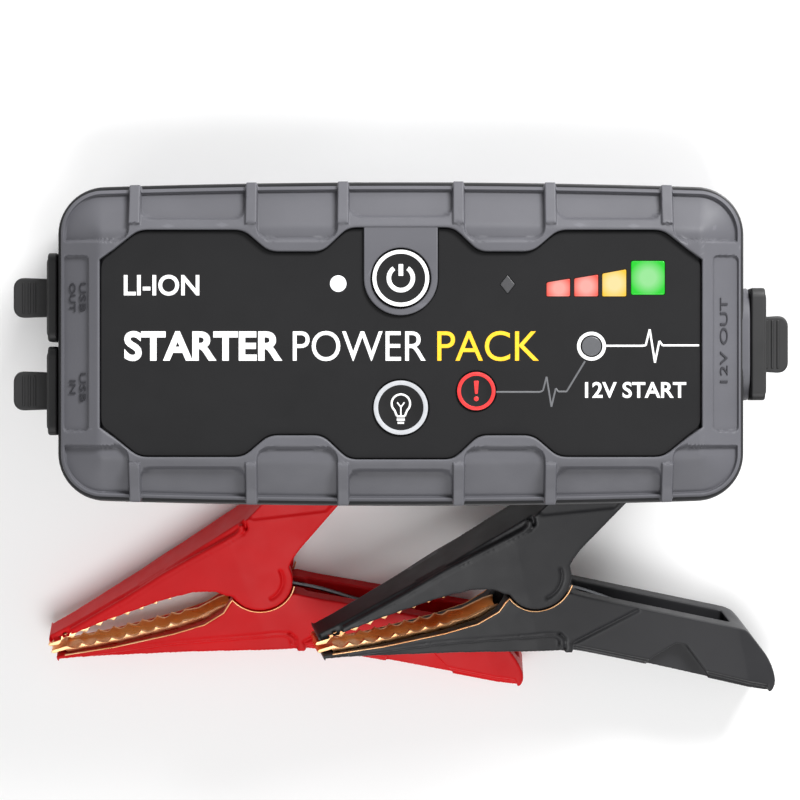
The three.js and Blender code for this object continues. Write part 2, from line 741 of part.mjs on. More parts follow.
function clamp(prefix, plastic) {
  const group = new THREE.Group();
  group.add(mesh(`${prefix}_lower_arm`, lowerArm(), plastic));
  group.add(mesh(`${prefix}_upper_arm`, upperArm(), plastic));
  group.add(mesh(`${prefix}_lower_jaw`, copperJaw(-1), MATERIALS.copper));
  group.add(mesh(`${prefix}_upper_jaw`, copperJaw(1), MATERIALS.copper));
  group.add(mesh(`${prefix}_pivot_pin`, pivotPin(), MATERIALS.steel));
  group.add(mesh(`${prefix}_spring`, torsionSpring(), MATERIALS.steel));
  group.scale.setScalar(CLAMP.scale);
  return group;
}

// ---------------------------------------------------------------- assembly

function caseGroup() {
  const group = new THREE.Group();
  const add = (name, body, meshMaterial) => group.add(mesh(name, body, meshMaterial));
  add('front_housing', frontHousing(), MATERIALS.blackPlastic);
  add('rear_housing', rearHousing(), MATERIALS.blackPlastic);
  add('housing_seal', housingSeal(), MATERIALS.seal);
  add('front_bumper', frontBumper(), MATERIALS.greyRubber);
  add('rear_bumper', rearBumper(), MATERIALS.greyRubber);
  add('face_panel', facePanel(), MATERIALS.panel);
  add('power_button', button(POWER_BUTTON), MATERIALS.button);
  add('light_button', button(LIGHT_BUTTON), MATERIALS.button);
  add('override_button', button(OVERRIDE_BUTTON), MATERIALS.button);
  add('power_switch', pushSwitch(POWER_BUTTON), MATERIALS.switch);
  add('light_switch', pushSwitch(LIGHT_BUTTON), MATERIALS.switch);
  add('override_switch', pushSwitch(OVERRIDE_BUTTON), MATERIALS.switch);
  const lensMaterials = {
    status_lens: MATERIALS.whiteLens,
    error_lens: MATERIALS.switch,
    boost_lens: MATERIALS.switch,
    charge_lens_1: MATERIALS.redLens,
    charge_lens_2: MATERIALS.redLens,
    charge_lens_3: MATERIALS.yellowLens,
    charge_lens_4: MATERIALS.greenLens,
  };
  for (const [name, shape] of Object.entries(lensShapes(0))) {
    add(name, prism(shape, LENS_BOTTOM, LENS_TOP, 5), lensMaterials[name]);
  }
  for (let index = 0; index < 3; index += 1) {
    add(`battery_cell_${index + 1}`, batteryCell(index), MATERIALS.cell);
  }
  add('circuit_board', circuitBoard(), MATERIALS.board);
  add('heat_sink', heatSink(), MATERIALS.aluminium);
  add('relay', relay(), MATERIALS.relay);
  add('usb_out_socket', portSocket(USB_OUT_Y, 6.6, 3.2, 1.8), MATERIALS.steel);
  add('usb_in_socket', portSocket(USB_IN_Y, 4.5, 2, 0.8), MATERIALS.steel);
  add('output_socket', outputSocket(), MATERIALS.blackPlastic);
  add('output_contact_positive', outputContact(6), MATERIALS.brass);
  add('output_contact_negative', outputContact(-6), MATERIALS.brass);
  add('lamp_reflector', lampReflector(), MATERIALS.aluminium);
  add('lamp_lens', lampLens(), MATERIALS.clearLens);
  add('lamp_led_1', lampLed(-6.2), MATERIALS.yellowLens);
  add('lamp_led_2', lampLed(6.2), MATERIALS.yellowLens);
  SCREWS.forEach((place, index) => {
    add(`housing_screw_${index + 1}`, housingScrew(place), MATERIALS.steel);
  });
  const half = COVER.height / 2;
  const usbPlug = { halfWidth: 5.6, halfHeight: 2.2, depth: 1.4 };
  const usbInPlug = { halfWidth: 3.8, halfHeight: 1.6, depth: 1.4 };
  const outletPlug = { halfWidth: 8.6, halfHeight: 2.8, depth: 1.6 };
  const { halfLength } = CASE;
  add('usb_out_cover', portCover(
    -1, USB_OUT_Y, halfLength, COVER.thickness, COVER.width / 2, half, 5.1, usbPlug),
  MATERIALS.coverRubber);
  add('usb_in_cover', portCover(
    -1, USB_IN_Y, halfLength, COVER.thickness, COVER.width / 2, half, 5, usbInPlug),
  MATERIALS.coverRubber);
  add('output_cover', portCover(
    1, 0, OUTLET.bossReach, OUTLET.coverThickness, OUTLET.bossWidth / 2, half, 7.3, outletPlug),
  MATERIALS.coverRubber);
  group.rotation.x = -CASE.lean;
  return group;
}

// lowers or lifts a group until its lowest point is on the table
function restOnTable(group) {
  group.updateMatrixWorld(true);
  const lowest = new THREE.Box3().setFromObject(group, true).min.z;
  group.position.z -= lowest;
}

const leaningCase = caseGroup();
restOnTable(leaningCase);

const redClamp = clamp('red', MATERIALS.redPlastic);
redClamp.rotation.z = RED_CLAMP.yaw;
redClamp.position.set(RED_CLAMP.x, RED_CLAMP.y, 0);
restOnTable(redClamp);

const blackClamp = new THREE.Group();
const blackTilt = clamp('black', MATERIALS.clampBlack);
blackTilt.rotation.y = BLACK_CLAMP.tipLift;
blackClamp.add(blackTilt);
blackClamp.rotation.z = BLACK_CLAMP.yaw;
blackClamp.position.set(BLACK_CLAMP.x, BLACK_CLAMP.y, 0);
restOnTable(blackClamp);

const jumpStarter = new THREE.Group();
jumpStarter.add(leaningCase, redClamp, blackClamp);

// the origin is the middle of the footprint, on the table
jumpStarter.updateMatrixWorld(true);
const extent = new THREE.Box3().setFromObject(jumpStarter, true);
const middle = extent.getCenter(new THREE.Vector3());
jumpStarter.position.set(-middle.x, -middle.y, 0);

export default jumpStarter;
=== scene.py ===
"""Looks of the jump starter pack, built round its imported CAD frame.

Pieces are drawn in millimetres in one of three working frames (the case, or either clamp), which
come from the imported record's joints and mounts, and are then placed in the row frame in metres.
"""

import json
import math

import bmesh
import bpy
import numpy as np
from mathutils import Matrix, Vector


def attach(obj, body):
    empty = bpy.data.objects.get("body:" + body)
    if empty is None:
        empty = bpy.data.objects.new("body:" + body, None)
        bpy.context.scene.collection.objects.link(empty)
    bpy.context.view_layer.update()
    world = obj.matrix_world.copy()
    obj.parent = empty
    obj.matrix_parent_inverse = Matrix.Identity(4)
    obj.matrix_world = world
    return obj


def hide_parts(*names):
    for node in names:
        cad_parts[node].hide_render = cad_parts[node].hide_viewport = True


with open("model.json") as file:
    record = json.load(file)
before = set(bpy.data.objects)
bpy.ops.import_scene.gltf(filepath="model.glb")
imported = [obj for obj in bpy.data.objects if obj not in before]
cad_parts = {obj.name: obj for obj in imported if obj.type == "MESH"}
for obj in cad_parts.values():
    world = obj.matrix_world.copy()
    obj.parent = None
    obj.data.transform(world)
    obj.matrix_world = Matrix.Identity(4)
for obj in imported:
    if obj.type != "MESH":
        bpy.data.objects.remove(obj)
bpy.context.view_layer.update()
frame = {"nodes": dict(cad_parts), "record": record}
record = frame["record"]
joints = {joint["name"]: joint for joint in record["behaviour"]["joints"]}
mounts = {mount["name"]: mount for mount in record["mounts"]}

MM = 0.001
GAP = 0.3  # between neighbouring pieces, millimetres
MERGE = 1e-4  # points of a plate closer than this are one
TEXT_HALF = 0.02  # half the thickness that lettering is drawn with before it is scaled

# ---- driving sizes, millimetres

HALF_LENGTH = 86.3
HALF_WIDTH = 40.75
BOW = 1.2
CORNER_RADIUS = 12
BACK, REAR_STEP, SPLIT, FRONT_STEP = 1.5, 12, 16, 32.7
WALL_TOP, PANEL_TOP, TOP = 42.2, 43.5, 45
WALL = 2.5
BUMPER_INSET, NECK_INSET, SLOPE_WIDTH, SLOPE_DROP = 1.3, 4.5, 10, 5
BACK_OPENING, BACK_SLOPE = 14, 4
RIB_X, RIB_WIDTH, RIB_PROUD, RIB_INNER = (14.4, 37.3, 66.4), 2.8, 0.4, 29.8
POCKETS = ((-13, 13, 31.6), (15.8, 35.8, 26), (38.8, 65, 31), (67.8, 95, 25.6))
PANEL_CORNERS = ((74.7, 20.5), (71.8, 22.6), (65.3, 28), (39.3, 28), (33, 22.6), (19.3, 22.6), (13, 28.6))
PANEL_CORNER_RADIUS = 2.2
TONGUE_Y, TONGUE_RADIUS, TONGUE_ROOT, TONGUE_TOP = 16.2, 9.2, 29.6, 44.6
POWER_KEY = (0, 16.2, 7.2, 45.3)
LIGHT_KEY = (0, -16, 6.9, 44.1)
OVERRIDE_KEY = (18.8, -11.9, 4.9, 44.1)
PORT_Z, PORT_Y, OUTLET_FACE = 24.5, 11.8, 88
SCREWS = ((-66, -20), (66, -20), (-66, 20), (66, 20))
FACE_MOUNT = (-50, 8, PANEL_TOP)  # where the record's case_face mount lies in the case frame
LEAN = math.radians(24)
CLAMP_SCALE = 1.03
CLAMP_TURN = {"red": (19, 0), "black": (12, 13.3)}  # yaw and tip lift, degrees


def case_frame():
    out = -Vector(joints["power_button_press"]["axis"]).normalized()
    along = Vector((1, 0, 0))
    turn = Matrix((along, out.cross(along), out)).transposed().to_4x4()
    origin = Vector(mounts["case_face"]["pos_m"]) - turn @ Vector(FACE_MOUNT) * MM
    return Matrix.Translation(origin) @ turn @ Matrix.Scale(MM, 4)


def clamp_frame(colour):
    pivot = Vector(joints[colour + "_jaw_pivot"]["pos_m"])
    yaw, lift = (math.radians(angle) for angle in CLAMP_TURN[colour])
    turn = Matrix.Rotation(yaw, 4, "Z") @ Matrix.Rotation(lift, 4, "Y")
    return Matrix.Translation(pivot) @ turn @ Matrix.Scale(MM * CLAMP_SCALE, 4)


CASE = case_frame()


def in_case(x, y, z):
    return CASE @ Vector((x, y, z))


# ---- camera

CAMERA_DISTANCE = 1000
VIEW_WIDTH = 199
VIEW_CENTRE_Y = -14.1


def make_camera():
    data = bpy.data.cameras.new("camera")
    camera = bpy.data.objects.new("camera", data)
    bpy.context.scene.collection.objects.link(camera)
    data.sensor_width = 36
    data.lens = data.sensor_width * CAMERA_DISTANCE / VIEW_WIDTH
    data.shift_x = -0.001
    turn = CASE.to_3x3().normalized().to_4x4()
    place = in_case(0, VIEW_CENTRE_Y, TOP + CAMERA_DISTANCE)
    camera.matrix_world = Matrix.Translation(place) @ turn
    data.clip_start, data.clip_end = 0.01, 20
    bpy.context.scene.camera = camera


make_camera()

# ---- mesh helpers


def link(name, data):
    obj = bpy.data.objects.new(name, data)
    bpy.context.scene.collection.objects.link(obj)
    return obj


def baked(obj):
    """The object's mesh with its modifiers or curve settings applied. The object goes away."""
    graph = bpy.context.evaluated_depsgraph_get()
    graph.update()
    mesh = bpy.data.meshes.new_from_object(obj.evaluated_get(graph))
    mesh.transform(obj.matrix_world)
    bpy.data.objects.remove(obj)
    return mesh


def facing_out(mesh, merge=0):
    """The mesh with its normals made to agree, after points closer than `merge` are joined."""
    body = bmesh.new()
    body.from_mesh(mesh)
    if merge:
        bmesh.ops.remove_doubles(body, verts=body.verts, dist=merge)
    bmesh.ops.recalc_face_normals(body, faces=body.faces)
    body.to_mesh(mesh)
    body.free()
    return mesh


def mesh_from(vertices, faces):
    mesh = bpy.data.meshes.new("draft")
    mesh.from_pydata([tuple(map(float, v)) for v in vertices], [], [tuple(map(int, f)) for f in faces])
    return facing_out(mesh)


def band(rings):
    """A closed skin through equal rings of points, the last joined to the first."""
    count = len(rings[0])
    faces = []
    for k in range(len(rings)):
        n = (k + 1) % len(rings)
        for i in range(count):
            j = (i + 1) % count
            faces.append((k * count + i, k * count + j, n * count + j, n * count + i))
    return mesh_from(np.vstack(rings), faces)


def new_curve(lines, closed):
    """A curve of straight stretches along each line of (x, y) or (x, y, z) points."""
    curve = bpy.data.curves.new("draft", "CURVE")
    curve.dimensions = "2D" if closed else "3D"
    for line in lines:
        spline = curve.splines.new("POLY")
        spline.points.add(len(line) - 1)
        for point, (x, y, *z) in zip(spline.points, line):
            point.co = (x, y, z[0] if z else 0, 1)
        spline.use_cyclic_u = closed
    return curve


def rod(points, radius, rounds):
    """A round bar along the points, with flat ends."""
    curve = new_curve([points], False)
    curve.bevel_depth = radius
    curve.bevel_resolution = rounds
    curve.use_fill_caps = True
    return baked(link("draft", curve))


def joined(meshes):
    body = bmesh.new()
    for mesh in meshes:
        body.from_mesh(mesh)
        bpy.data.meshes.remove(mesh)
    whole = bpy.data.meshes.new("draft")
    body.to_mesh(whole)
    body.free()
    return whole


def turned(mesh, matrix):
    mesh.transform(matrix)
    return mesh


def at_height(mesh, z):
    return turned(mesh, Matrix.Translation((0, 0, z)))


def boolean(mesh, cutters, operation="DIFFERENCE"):
    obj = link("draft", mesh)
    tools = []
    for cutter in cutters:
        tool = link("tool", cutter)
        modifier = obj.modifiers.new("cut", "BOOLEAN")
        modifier.operation = operation
        modifier.solver = "EXACT"
        modifier.object = tool
        tools.append(tool)
    result = baked(obj)
    for tool in tools:
        bpy.data.objects.remove(tool)
    return result


def moulded(mesh):
    """One closed skin round everything in the mesh, with softened edges."""
    obj = link("draft", mesh)
    remesh = obj.modifiers.new("skin", "REMESH")
    remesh.mode = "VOXEL"
    remesh.voxel_size = SKIN
    smooth = obj.modifiers.new("soften", "SMOOTH")
    smooth.factor = 0.5
    smooth.iterations = SOFTENING
    lighter = obj.modifiers.new("lighter", "DECIMATE")
    lighter.ratio = KEPT
    return baked(obj)


def rounded(corners, radius, steps=5):
    """Points of a closed outline whose corners are rounded. A corner may carry its own radius."""
    points = []
    for index, corner in enumerate(corners):
        here = np.array(corner[:2], float)
        before = np.array(corners[index - 1][:2], float) - here
        after = np.array(corners[(index + 1) % len(corners)][:2], float) - here
        size = corner[2] if len(corner) > 2 else radius
        cut_in = min(size, np.linalg.norm(before) / 2.2)
        cut_out = min(size, np.linalg.norm(after) / 2.2)
        start = here + before / np.linalg.norm(before) * cut_in
        end = here + after / np.linalg.norm(after) * cut_out
        for t in np.linspace(0, 1, steps + 1):
            points.append(tuple((1 - t) ** 2 * start + 2 * t * (1 - t) * here + t * t * end))
    return points


def rectangle(x0, x1, y0, y1, radius, steps=5):
    return rounded([(x0, y0), (x1, y0), (x1, y1), (x0, y1)], radius, steps)


def arc(x, y, radius, start, end, steps):
    """Points along a circle's arc, angles in degrees."""
    angles = np.radians(np.linspace(start, end, steps + 1))
    return [(x + radius * math.cos(a), y + radius * math.sin(a)) for a in angles]


def circle(x, y, radius, steps=48):
    return arc(x, y, radius, 0, 360, steps)[:-1]


def stadium(half_width, half_height, x, y, steps=14):
    r = half_height
    right = arc(x + half_width - r, y, r, -90, 90, steps)
    left = arc(x - half_width + r, y, r, 90, 270, steps)
    return right + left


def plate(outlines, bottom, top, bevel=0.2, rounds=2):
    """A flat slab with holes: the first outline is its edge, the others are holes."""
    curve = new_curve(outlines, True)
    curve.fill_mode = "BOTH"
    curve.extrude = (top - bottom) / 2 - bevel
    curve.bevel_depth = bevel
    curve.bevel_resolution = rounds
    curve.offset = -bevel
    return facing_out(at_height(baked(link("draft", curve)), (bottom + top) / 2), MERGE)


ACROSS = Matrix(((0, 0, 1, 0), (1, 0, 0, 0), (0, 1, 0, 0), (0, 0, 0, 1)))  # a plate's (u, v, w) to (y, z, x)


def plate_across(outlines, x0, x1, bevel=0.2, rounds=2):
    """A slab whose outline lies in the YZ plane and which runs along X."""
    return turned(plate(outlines, x0, x1, bevel, rounds), ACROSS)


def block(x0, x1, y0, y1, z0, z1, bevel=0.2, corner=0.4):
    return plate([rectangle(x0, x1, y0, y1, corner, 3)], z0, z1, bevel)


def turning(profile, steps=64, x=0, y=0):
    """A solid of revolution about Z through (x, y). The profile's ends may lie on the axis."""
    vertices, faces = [], []
    rings = []
    for radius, z in profile:
        if radius < 1e-6:
            rings.append([len(vertices)])
            vertices.append((x, y, z))
        else:
            first = len(vertices)
            for a in np.linspace(0, 2 * math.pi, steps, endpoint=False):
                vertices.append((x + radius * math.cos(a), y + radius * math.sin(a), z))
            rings.append(list(range(first, first + steps)))
    closed = len(rings[0]) > 1
    pairs = list(zip(rings, rings[1:])) + ([(rings[-1], rings[0])] if closed else [])
    for low, high in pairs:
        for i in range(steps):
            j = (i + 1) % steps
            quad = [low[i % len(low)], low[j % len(low)], high[j % len(high)], high[i % len(high)]]
            faces.append(list(dict.fromkeys(quad)))
    return mesh_from(vertices, faces)


def case_outline(inset, side_steps=60, corner_steps=14, end_steps=14):
    a = HALF_LENGTH - inset
    r = max(CORNER_RADIUS - inset, 0.5)
    end = HALF_WIDTH - inset - BOW
    points = []
    for t in np.linspace(-1, 1, side_steps + 1)[:-1]:
        points.append((t * (a - r), -end - BOW * (1 - t * t)))
    points += arc(a - r, -end + r, r, -90, 0, corner_steps)[:-1]
    for t in np.linspace(-1, 1, end_steps + 1)[:-1]:
        points.append((a, t * (end - r)))
    points += arc(a - r, end - r, r, 0, 90, corner_steps)[:-1]
    return points + [(-x, -y) for x, y in points]


def sweep(profile):
    """A closed band round the case: the profile is a closed list of (inset, z)."""
    return band([[(x, y, z) for x, y in case_outline(inset)] for inset, z in profile])


def stroke(points, width, height):
    """A low printed line along points (x, y), rounded across its width."""
    return turned(rod(points, width / 2, 2), Matrix.Diagonal((1, 1, height / width * 2, 1)))


def lettering(text, x0, x1, y0, y1, height, weight=0.0, turn=0):
    """Plain sans lettering that fills the box, `height` thick, its middle at z 0."""
    curve = bpy.data.curves.new("draft", "FONT")
    curve.body = text
    curve.offset = weight
    curve.extrude = TEXT_HALF
    curve.resolution_u = 6
    mesh = baked(link("draft", curve))
    co = np.array([v.co for v in mesh.vertices])
    low, high = co.min(0), co.max(0)
    width, tall = (x1 - x0, y1 - y0) if not turn else (y1 - y0, x1 - x0)
    spread = high - low
    scale = Matrix.Diagonal((width / spread[0], tall / spread[1], height / (2 * TEXT_HALF), 1))
    middle = Matrix.Translation((-(low[0] + high[0]) / 2, -(low[1] + high[1]) / 2, 0))
    place = Matrix.Translation(((x0 + x1) / 2, (y0 + y1) / 2, 0))
    mesh.transform(place @ Matrix.Rotation(math.radians(turn), 4, "Z") @ scale @ middle)
    return mesh


def piece(name, mesh, material, body="case", slot=None, replaces=(), to_row=None, sharp=35):
    """Places a finished mesh in the row frame as a piece that rides on a CAD body."""
    mesh.transform(CASE if to_row is None else to_row)
    mesh.materials.clear()
    mesh.materials.append(material)
    mesh.polygons.foreach_set("material_index", [0] * len(mesh.polygons))
    mesh.polygons.foreach_set("use_smooth", [True] * len(mesh.polygons))
    mesh.set_sharp_from_angle(angle=math.radians(sharp))
    mesh.name = name
    obj = link(name, mesh)
    flat_faces = obj.modifiers.new("flat_faces", "WEIGHTED_NORMAL")
    flat_faces.keep_sharp = True
    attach(obj, body)
    if replaces:
        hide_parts(*replaces)


# ---- materials


def new_material(name):
    material = bpy.data.materials.new(name)
    material.use_nodes = True
    tree = material.node_tree
    place = tree.nodes.new("ShaderNodeTexCoord").outputs["Object"]
    return material, tree, tree.nodes["Principled BSDF"], place


def fed(tree, node, inputs):
    """The node with its inputs set. A node's name makes a new node, and an output is linked."""
    if isinstance(node, str):
        node = tree.nodes.new("ShaderNode" + node)
    for name, value in inputs.items():
        if isinstance(value, bpy.types.NodeSocket):
            tree.links.new(value, node.inputs[name])
        else:
            node.inputs[name].default_value = value
    return node


def noise(tree, place, scale, detail=3, roughness=0.55):
    inputs = {"Scale": scale, "Detail": detail, "Roughness": roughness, "Vector": place}
    return fed(tree, "TexNoise", inputs).outputs["Fac"]


def ranged(tree, value, low, high, start=0.3, end=0.7):
    inputs = {"From Min": start, "From Max": end, "To Min": low, "To Max": high, "Value": value}
    return fed(tree, "MapRange", inputs).outputs["Result"]


def mixed(tree, factor, first, second):
    mix = tree.nodes.new("ShaderNodeMix")
    mix.data_type = "RGBA"
    return fed(tree, mix, {"Factor": factor, "A": first, "B": second}).outputs["Result"]


def bumped(tree, height, strength, depth, under=None):
    bump = fed(tree, "Bump", {"Strength": strength, "Distance": depth * MM, "Height": height})
    if under:
        tree.links.new(under, bump.inputs["Normal"])
    return bump.outputs["Normal"]


def linear(*screen):
    """The shader's colour for red, green and blue screen values of 0 to 255."""
    channels = [c / 255 for c in screen]
    return tuple(c / 12.92 if c <= 0.04045 else ((c + 0.055) / 1.055) ** 2.4 for c in channels) + (1,)


def shaded(colour, factor):
    return tuple(min(c * factor, 1) for c in colour[:3]) + (1,)


def moulded_plastic(name, colour, roughness, grain, depth, variation=0.12, edge_highlight=0.0, specular=0.5):
    """Moulded plastic or rubber: grained bump, blotchy sheen, faint colour drift, and sharp edges painted
    paler as a painted highlight.
    """
    colour = linear(*colour)
    material, tree, shader, place = new_material(name)
    drift = ranged(tree, noise(tree, place, 45, 4), 0, 1, 0.35, 0.65)
    base = mixed(tree, drift, shaded(colour, 1 - variation), shaded(colour, 1 + variation))
    # Painted highlight: edges picked out by pointiness are mixed towards a colour 3.2 times paler.
    if edge_highlight:
        edges = tree.nodes.new("ShaderNodeNewGeometry").outputs["Pointiness"]
        base = mixed(tree, ranged(tree, edges, 0, edge_highlight, 0.51, 0.6), base, shaded(colour, 3.2))
    sheen = ranged(tree, noise(tree, place, 160, 3), roughness - 0.06, roughness + 0.07)
    fine = bumped(tree, noise(tree, place, 1 / (grain * MM), 2), 0.35, depth)
    broad = bumped(tree, noise(tree, place, 220, 2), 0.25, 0.05, fine)
    fed(tree, shader, {"Base Color": base, "Roughness": sheen, "Normal": broad})
    shader.inputs["Specular IOR Level"].default_value = specular
    return material


def printed(name, colour):
    """Screen-print ink: slightly uneven in tone and gloss."""
    colour = linear(*colour)
    material, tree, shader, place = new_material(name)
    patchy = ranged(tree, noise(tree, place, 900, 3), 0, 1, 0.3, 0.7)
    tone = mixed(tree, patchy, shaded(colour, 0.93), colour)
    fed(tree, shader, {"Base Color": tone, "Roughness": ranged(tree, patchy, 0.4, 0.53)})
    return material


def glowing(name, colour, glow, strength, centre=(0, 0), reach=2.0, heart=None):
    """A lit plastic window, of colour `heart` at its lamp, which is at `centre` on the case's face."""
    heart = linear(*(heart or glow))
    colour, glow = linear(*colour), linear(*glow)
    material, tree, shader, place = new_material(name)
    cloud = ranged(tree, noise(tree, place, 700, 2), 0, 1, 0.3, 0.7)
    away = tree.nodes.new("ShaderNodeVectorMath")
    away.operation = "DISTANCE"
    distance = fed(tree, away, {0: place, 1: in_case(*centre, PANEL_TOP)}).outputs["Value"]
    edge = ranged(tree, distance, 0, 1, reach * 0.4 * MM, reach * MM)
    fed(tree, shader, {
        "Base Color": mixed(tree, cloud, shaded(colour, 0.94), colour),
        "Roughness": 0.25,
        "Emission Color": mixed(tree, edge, heart, glow),
        "Emission Strength": strength,
    })
    return material


def metal(name, colour, tint, roughness, brushed=(1, 1, 1), depth=0.02):
    """Bare metal with patches of a second tint. Its fine grain is stretched where `brushed` is small."""
    material, tree, shader, place = new_material(name)
    stretched = fed(tree, "Mapping", {"Scale": brushed, "Vector": place}).outputs["Vector"]
    streaks = noise(tree, stretched, 900, 4, 0.6)
    patches = ranged(tree, noise(tree, place, 60, 3), 0, 1, 0.35, 0.65)
    fed(tree, shader, {
        "Base Color": mixed(tree, patches, linear(*colour), linear(*tint)),
        "Metallic": 1,
        "Roughness": ranged(tree, streaks, roughness - 0.08, roughness + 0.12),
        "Normal": bumped(tree, streaks, 0.3, depth),
    })
    return material


def glass(name, colour):
    material, tree, shader, place = new_material(name)
    cloud = ranged(tree, noise(tree, place, 1500, 2), 0.12, 0.2)
    fed(tree, shader, {"Base Color": colour, "Transmission Weight": 0.9, "IOR": 1.49, "Roughness": cloud})
    return material


# grey_rubber carries a faint painted highlight along its sharp edges: the 0.1 just before its specular value.
GREY_RUBBER = moulded_plastic("grey_rubber", (86, 86, 91), 0.5, 0.16, 0.03, 0.05, 0.1, 0.28)
# Darker rubber for the port names: painted shade that stands in for the shading round moulded lettering.
PAINTED_SHADE_RUBBER = moulded_plastic("painted_shade_rubber", (52, 52, 56), 0.55, 0.16, 0.03, 0.05, 0, 0.2)
BLACK_PLASTIC = moulded_plastic("black_plastic", (24, 24, 27), 0.42, 0.2, 0.03, 0.12)
PANEL_FILM = moulded_plastic("panel_film", (30, 30, 31), 0.55, 0.1, 0.012, 0.05, 0, 0.12)
KEY_RUBBER = moulded_plastic("key_rubber", (24, 24, 25), 0.5, 0.1, 0.012, 0.06, 0, 0.2)
COVER_RUBBER = moulded_plastic("cover_rubber", (26, 26, 27), 0.55, 0.18, 0.03, 0.15)
RED_PLASTIC = moulded_plastic("red_plastic", (206, 14, 20), 0.4, 0.3, 0.012, 0.05, 0, 0.16)
CLAMP_BLACK = moulded_plastic("clamp_black", (42, 42, 44), 0.42, 0.3, 0.02, 0.08, 0, 0.3)
WHITE_INK = printed("white_ink", (240, 240, 240))
GREY_INK = printed("grey_ink", (176, 178, 182))
DARK_INK = printed("dark_ink", (96, 97, 100))
YELLOW_INK = printed("yellow_ink", (244, 190, 32))
RED_INK = printed("red_ink", (222, 44, 44))
SCREW_STEEL = metal("screw_steel", (150, 152, 156), (120, 122, 126), 0.32)
COPPER = metal("jaw_copper", (252, 206, 156), (232, 160, 104), 0.3, (0.2, 1, 1))

# ---- stage

FLOOR_SIZE = 6


def make_stage():
    half = FLOOR_SIZE / 2
    floor_mesh = mesh_from([(-half, -half, 0), (half, -half, 0), (half, half, 0), (-half, half, 0)],
                           [(0, 1, 2, 3)])
    floor = link("floor", floor_mesh)
    material, tree, shader, place = new_material("floor_card")
    tone = ranged(tree, noise(tree, place, 3, 2), 0, 1)
    card = mixed(tree, tone, (0.94, 0.94, 0.94, 1), (0.96, 0.96, 0.96, 1))
    fed(tree, shader, {"Base Color": card, "Roughness": 0.7})
    floor.data.materials.append(material)


def area_light(name, place, target, size, power, colour=(1, 1, 1)):
    data = bpy.data.lights.new(name, "AREA")
    data.shape = "RECTANGLE"
    data.size, data.size_y = size
    data.energy = power
    data.color = colour
    light = link(name, data)
    light.location = place
    light.rotation_mode = "QUATERNION"
    light.rotation_quaternion = (Vector(target) - Vector(place)).to_track_quat("-Z", "Y")


def make_lights():
    world = bpy.data.worlds.new("studio")
    world.use_nodes = True
    background = world.node_tree.nodes["Background"]
    background.inputs["Color"].default_value = (1, 1, 1, 1)
    background.inputs["Strength"].default_value = 0.46
    bpy.context.scene.world = world
    bpy.context.scene.view_settings.view_transform = "Standard"
    area_light("key", (0.5, 1.0, 0.5), (0, 0, 0.02), (0.45, 0.3), 21)
    area_light("top", (0.1, -0.35, 1.25), (0, 0, 0), (0.8, 0.8), 8.5)
    area_light("fill", (-0.9, -0.5, 0.6), (0, 0, 0.02), (0.6, 0.6), 1)


make_stage()
make_lights()

# ---- bumpers

RIM_WIDTH, WALL_BLEND = 1.0, 0.45
POCKET_RADIUS, POCKET_DEPTH, BACK_POCKET_DEPTH = 3, 1.5, 1.25
END_POCKET, END_POCKET_RADIUS = (77.9, 84.3, -21.9, 21.9), 1.2
CREASE, BACK_CREASE = 0.9, 0.6
SAMPLE_STEP, EDGE_CLEAR = 0.9, 0.75  # between samples, and from a plain sample to an edge
EDGE_STEPS = np.array([-0.7, -0.45, -0.3, -0.15, 0, 0.15, 0.3, 0.45, 0.7])
FILLET, EDGE_DROP = 0.5, 0.16  # rounding of the bumper's inner and outer edges
RIB_SLOPE, FRONT_RIB_REACH, BACK_RIB_REACH = 2.6, 1.1, 0.6
BUMPER_STEPS = 26  # across a bumper, between the close samples at its two edges
FROM_INNER = (0, 0.04, 0.12, 0.25, 0.5)
FROM_OUTER = (3.2, 2.6, 2.1, 1.7, 1.45, 1.3, 1.15, 1.0, 0.85, 0.7, 0.5, 0.3, 0.15, 0.05, 0)


def side_edge(x, inset):
    """Distance of the case's long side from the middle at x."""
    span = HALF_LENGTH - max(CORNER_RADIUS, inset)
    return HALF_WIDTH - inset - BOW * np.minimum(np.abs(x) / span, 1) ** 2


def depth_inside(x, y):
    """How far a point is inside the case outline."""
    a, r = HALF_LENGTH, CORNER_RADIUS
    qx, qy = np.abs(x) - (a - r), np.abs(y) - (side_edge(x, 0) - r)
    outside = np.hypot(np.maximum(qx, 0), np.maximum(qy, 0))
    return r - outside - np.minimum(np.maximum(qx, qy), 0)


def box_depth(x, y, x0, x1, y0, y1, radius):
    """Signed depth inside a rounded rectangle."""
    qx = np.abs(x - (x0 + x1) / 2) - (x1 - x0) / 2 + radius
    qy = np.abs(y - (y0 + y1) / 2) - (y1 - y0) / 2 + radius
    outside = np.hypot(np.maximum(qx, 0), np.maximum(qy, 0))
    return radius - outside - np.minimum(np.maximum(qx, qy), 0)


def blended(value, width=WALL_BLEND):
    t = np.clip(value / width + 0.5, 0, 1)
    return t * t * (3 - 2 * t)


def pocket_mask(x, y):
    """1 inside the pockets between the ribs, 0 outside, with steep walls."""
    best = np.full(np.shape(x), -9.0)
    for x0, x1, inner in POCKETS:
        for low, high in {(x0, x1), (-x1, -x0)}:
            best = np.maximum(best, box_depth(x, np.abs(y), low, high, inner, 60, POCKET_RADIUS))
    return blended(np.minimum(best, depth_inside(x, y) - BUMPER_INSET - RIM_WIDTH))


def rib_mask(x, y):
    best = np.full(np.shape(x), -9.0)
    for middle in RIB_X:
        best = np.maximum(best, RIB_WIDTH / 2 - np.abs(np.abs(x) - middle))
    return blended(np.minimum(best, np.abs(y) - RIB_INNER))


def end_mask(x, y):
    return blended(box_depth(np.abs(x), y, *END_POCKET, END_POCKET_RADIUS), 0.35)


def soft_crease(value, width):
    """max(value, 0) with its corner rounded over `width`."""
    return np.where(value > width, value, np.where(value < -width, 0, (value + width) ** 2 / (4 * width)))


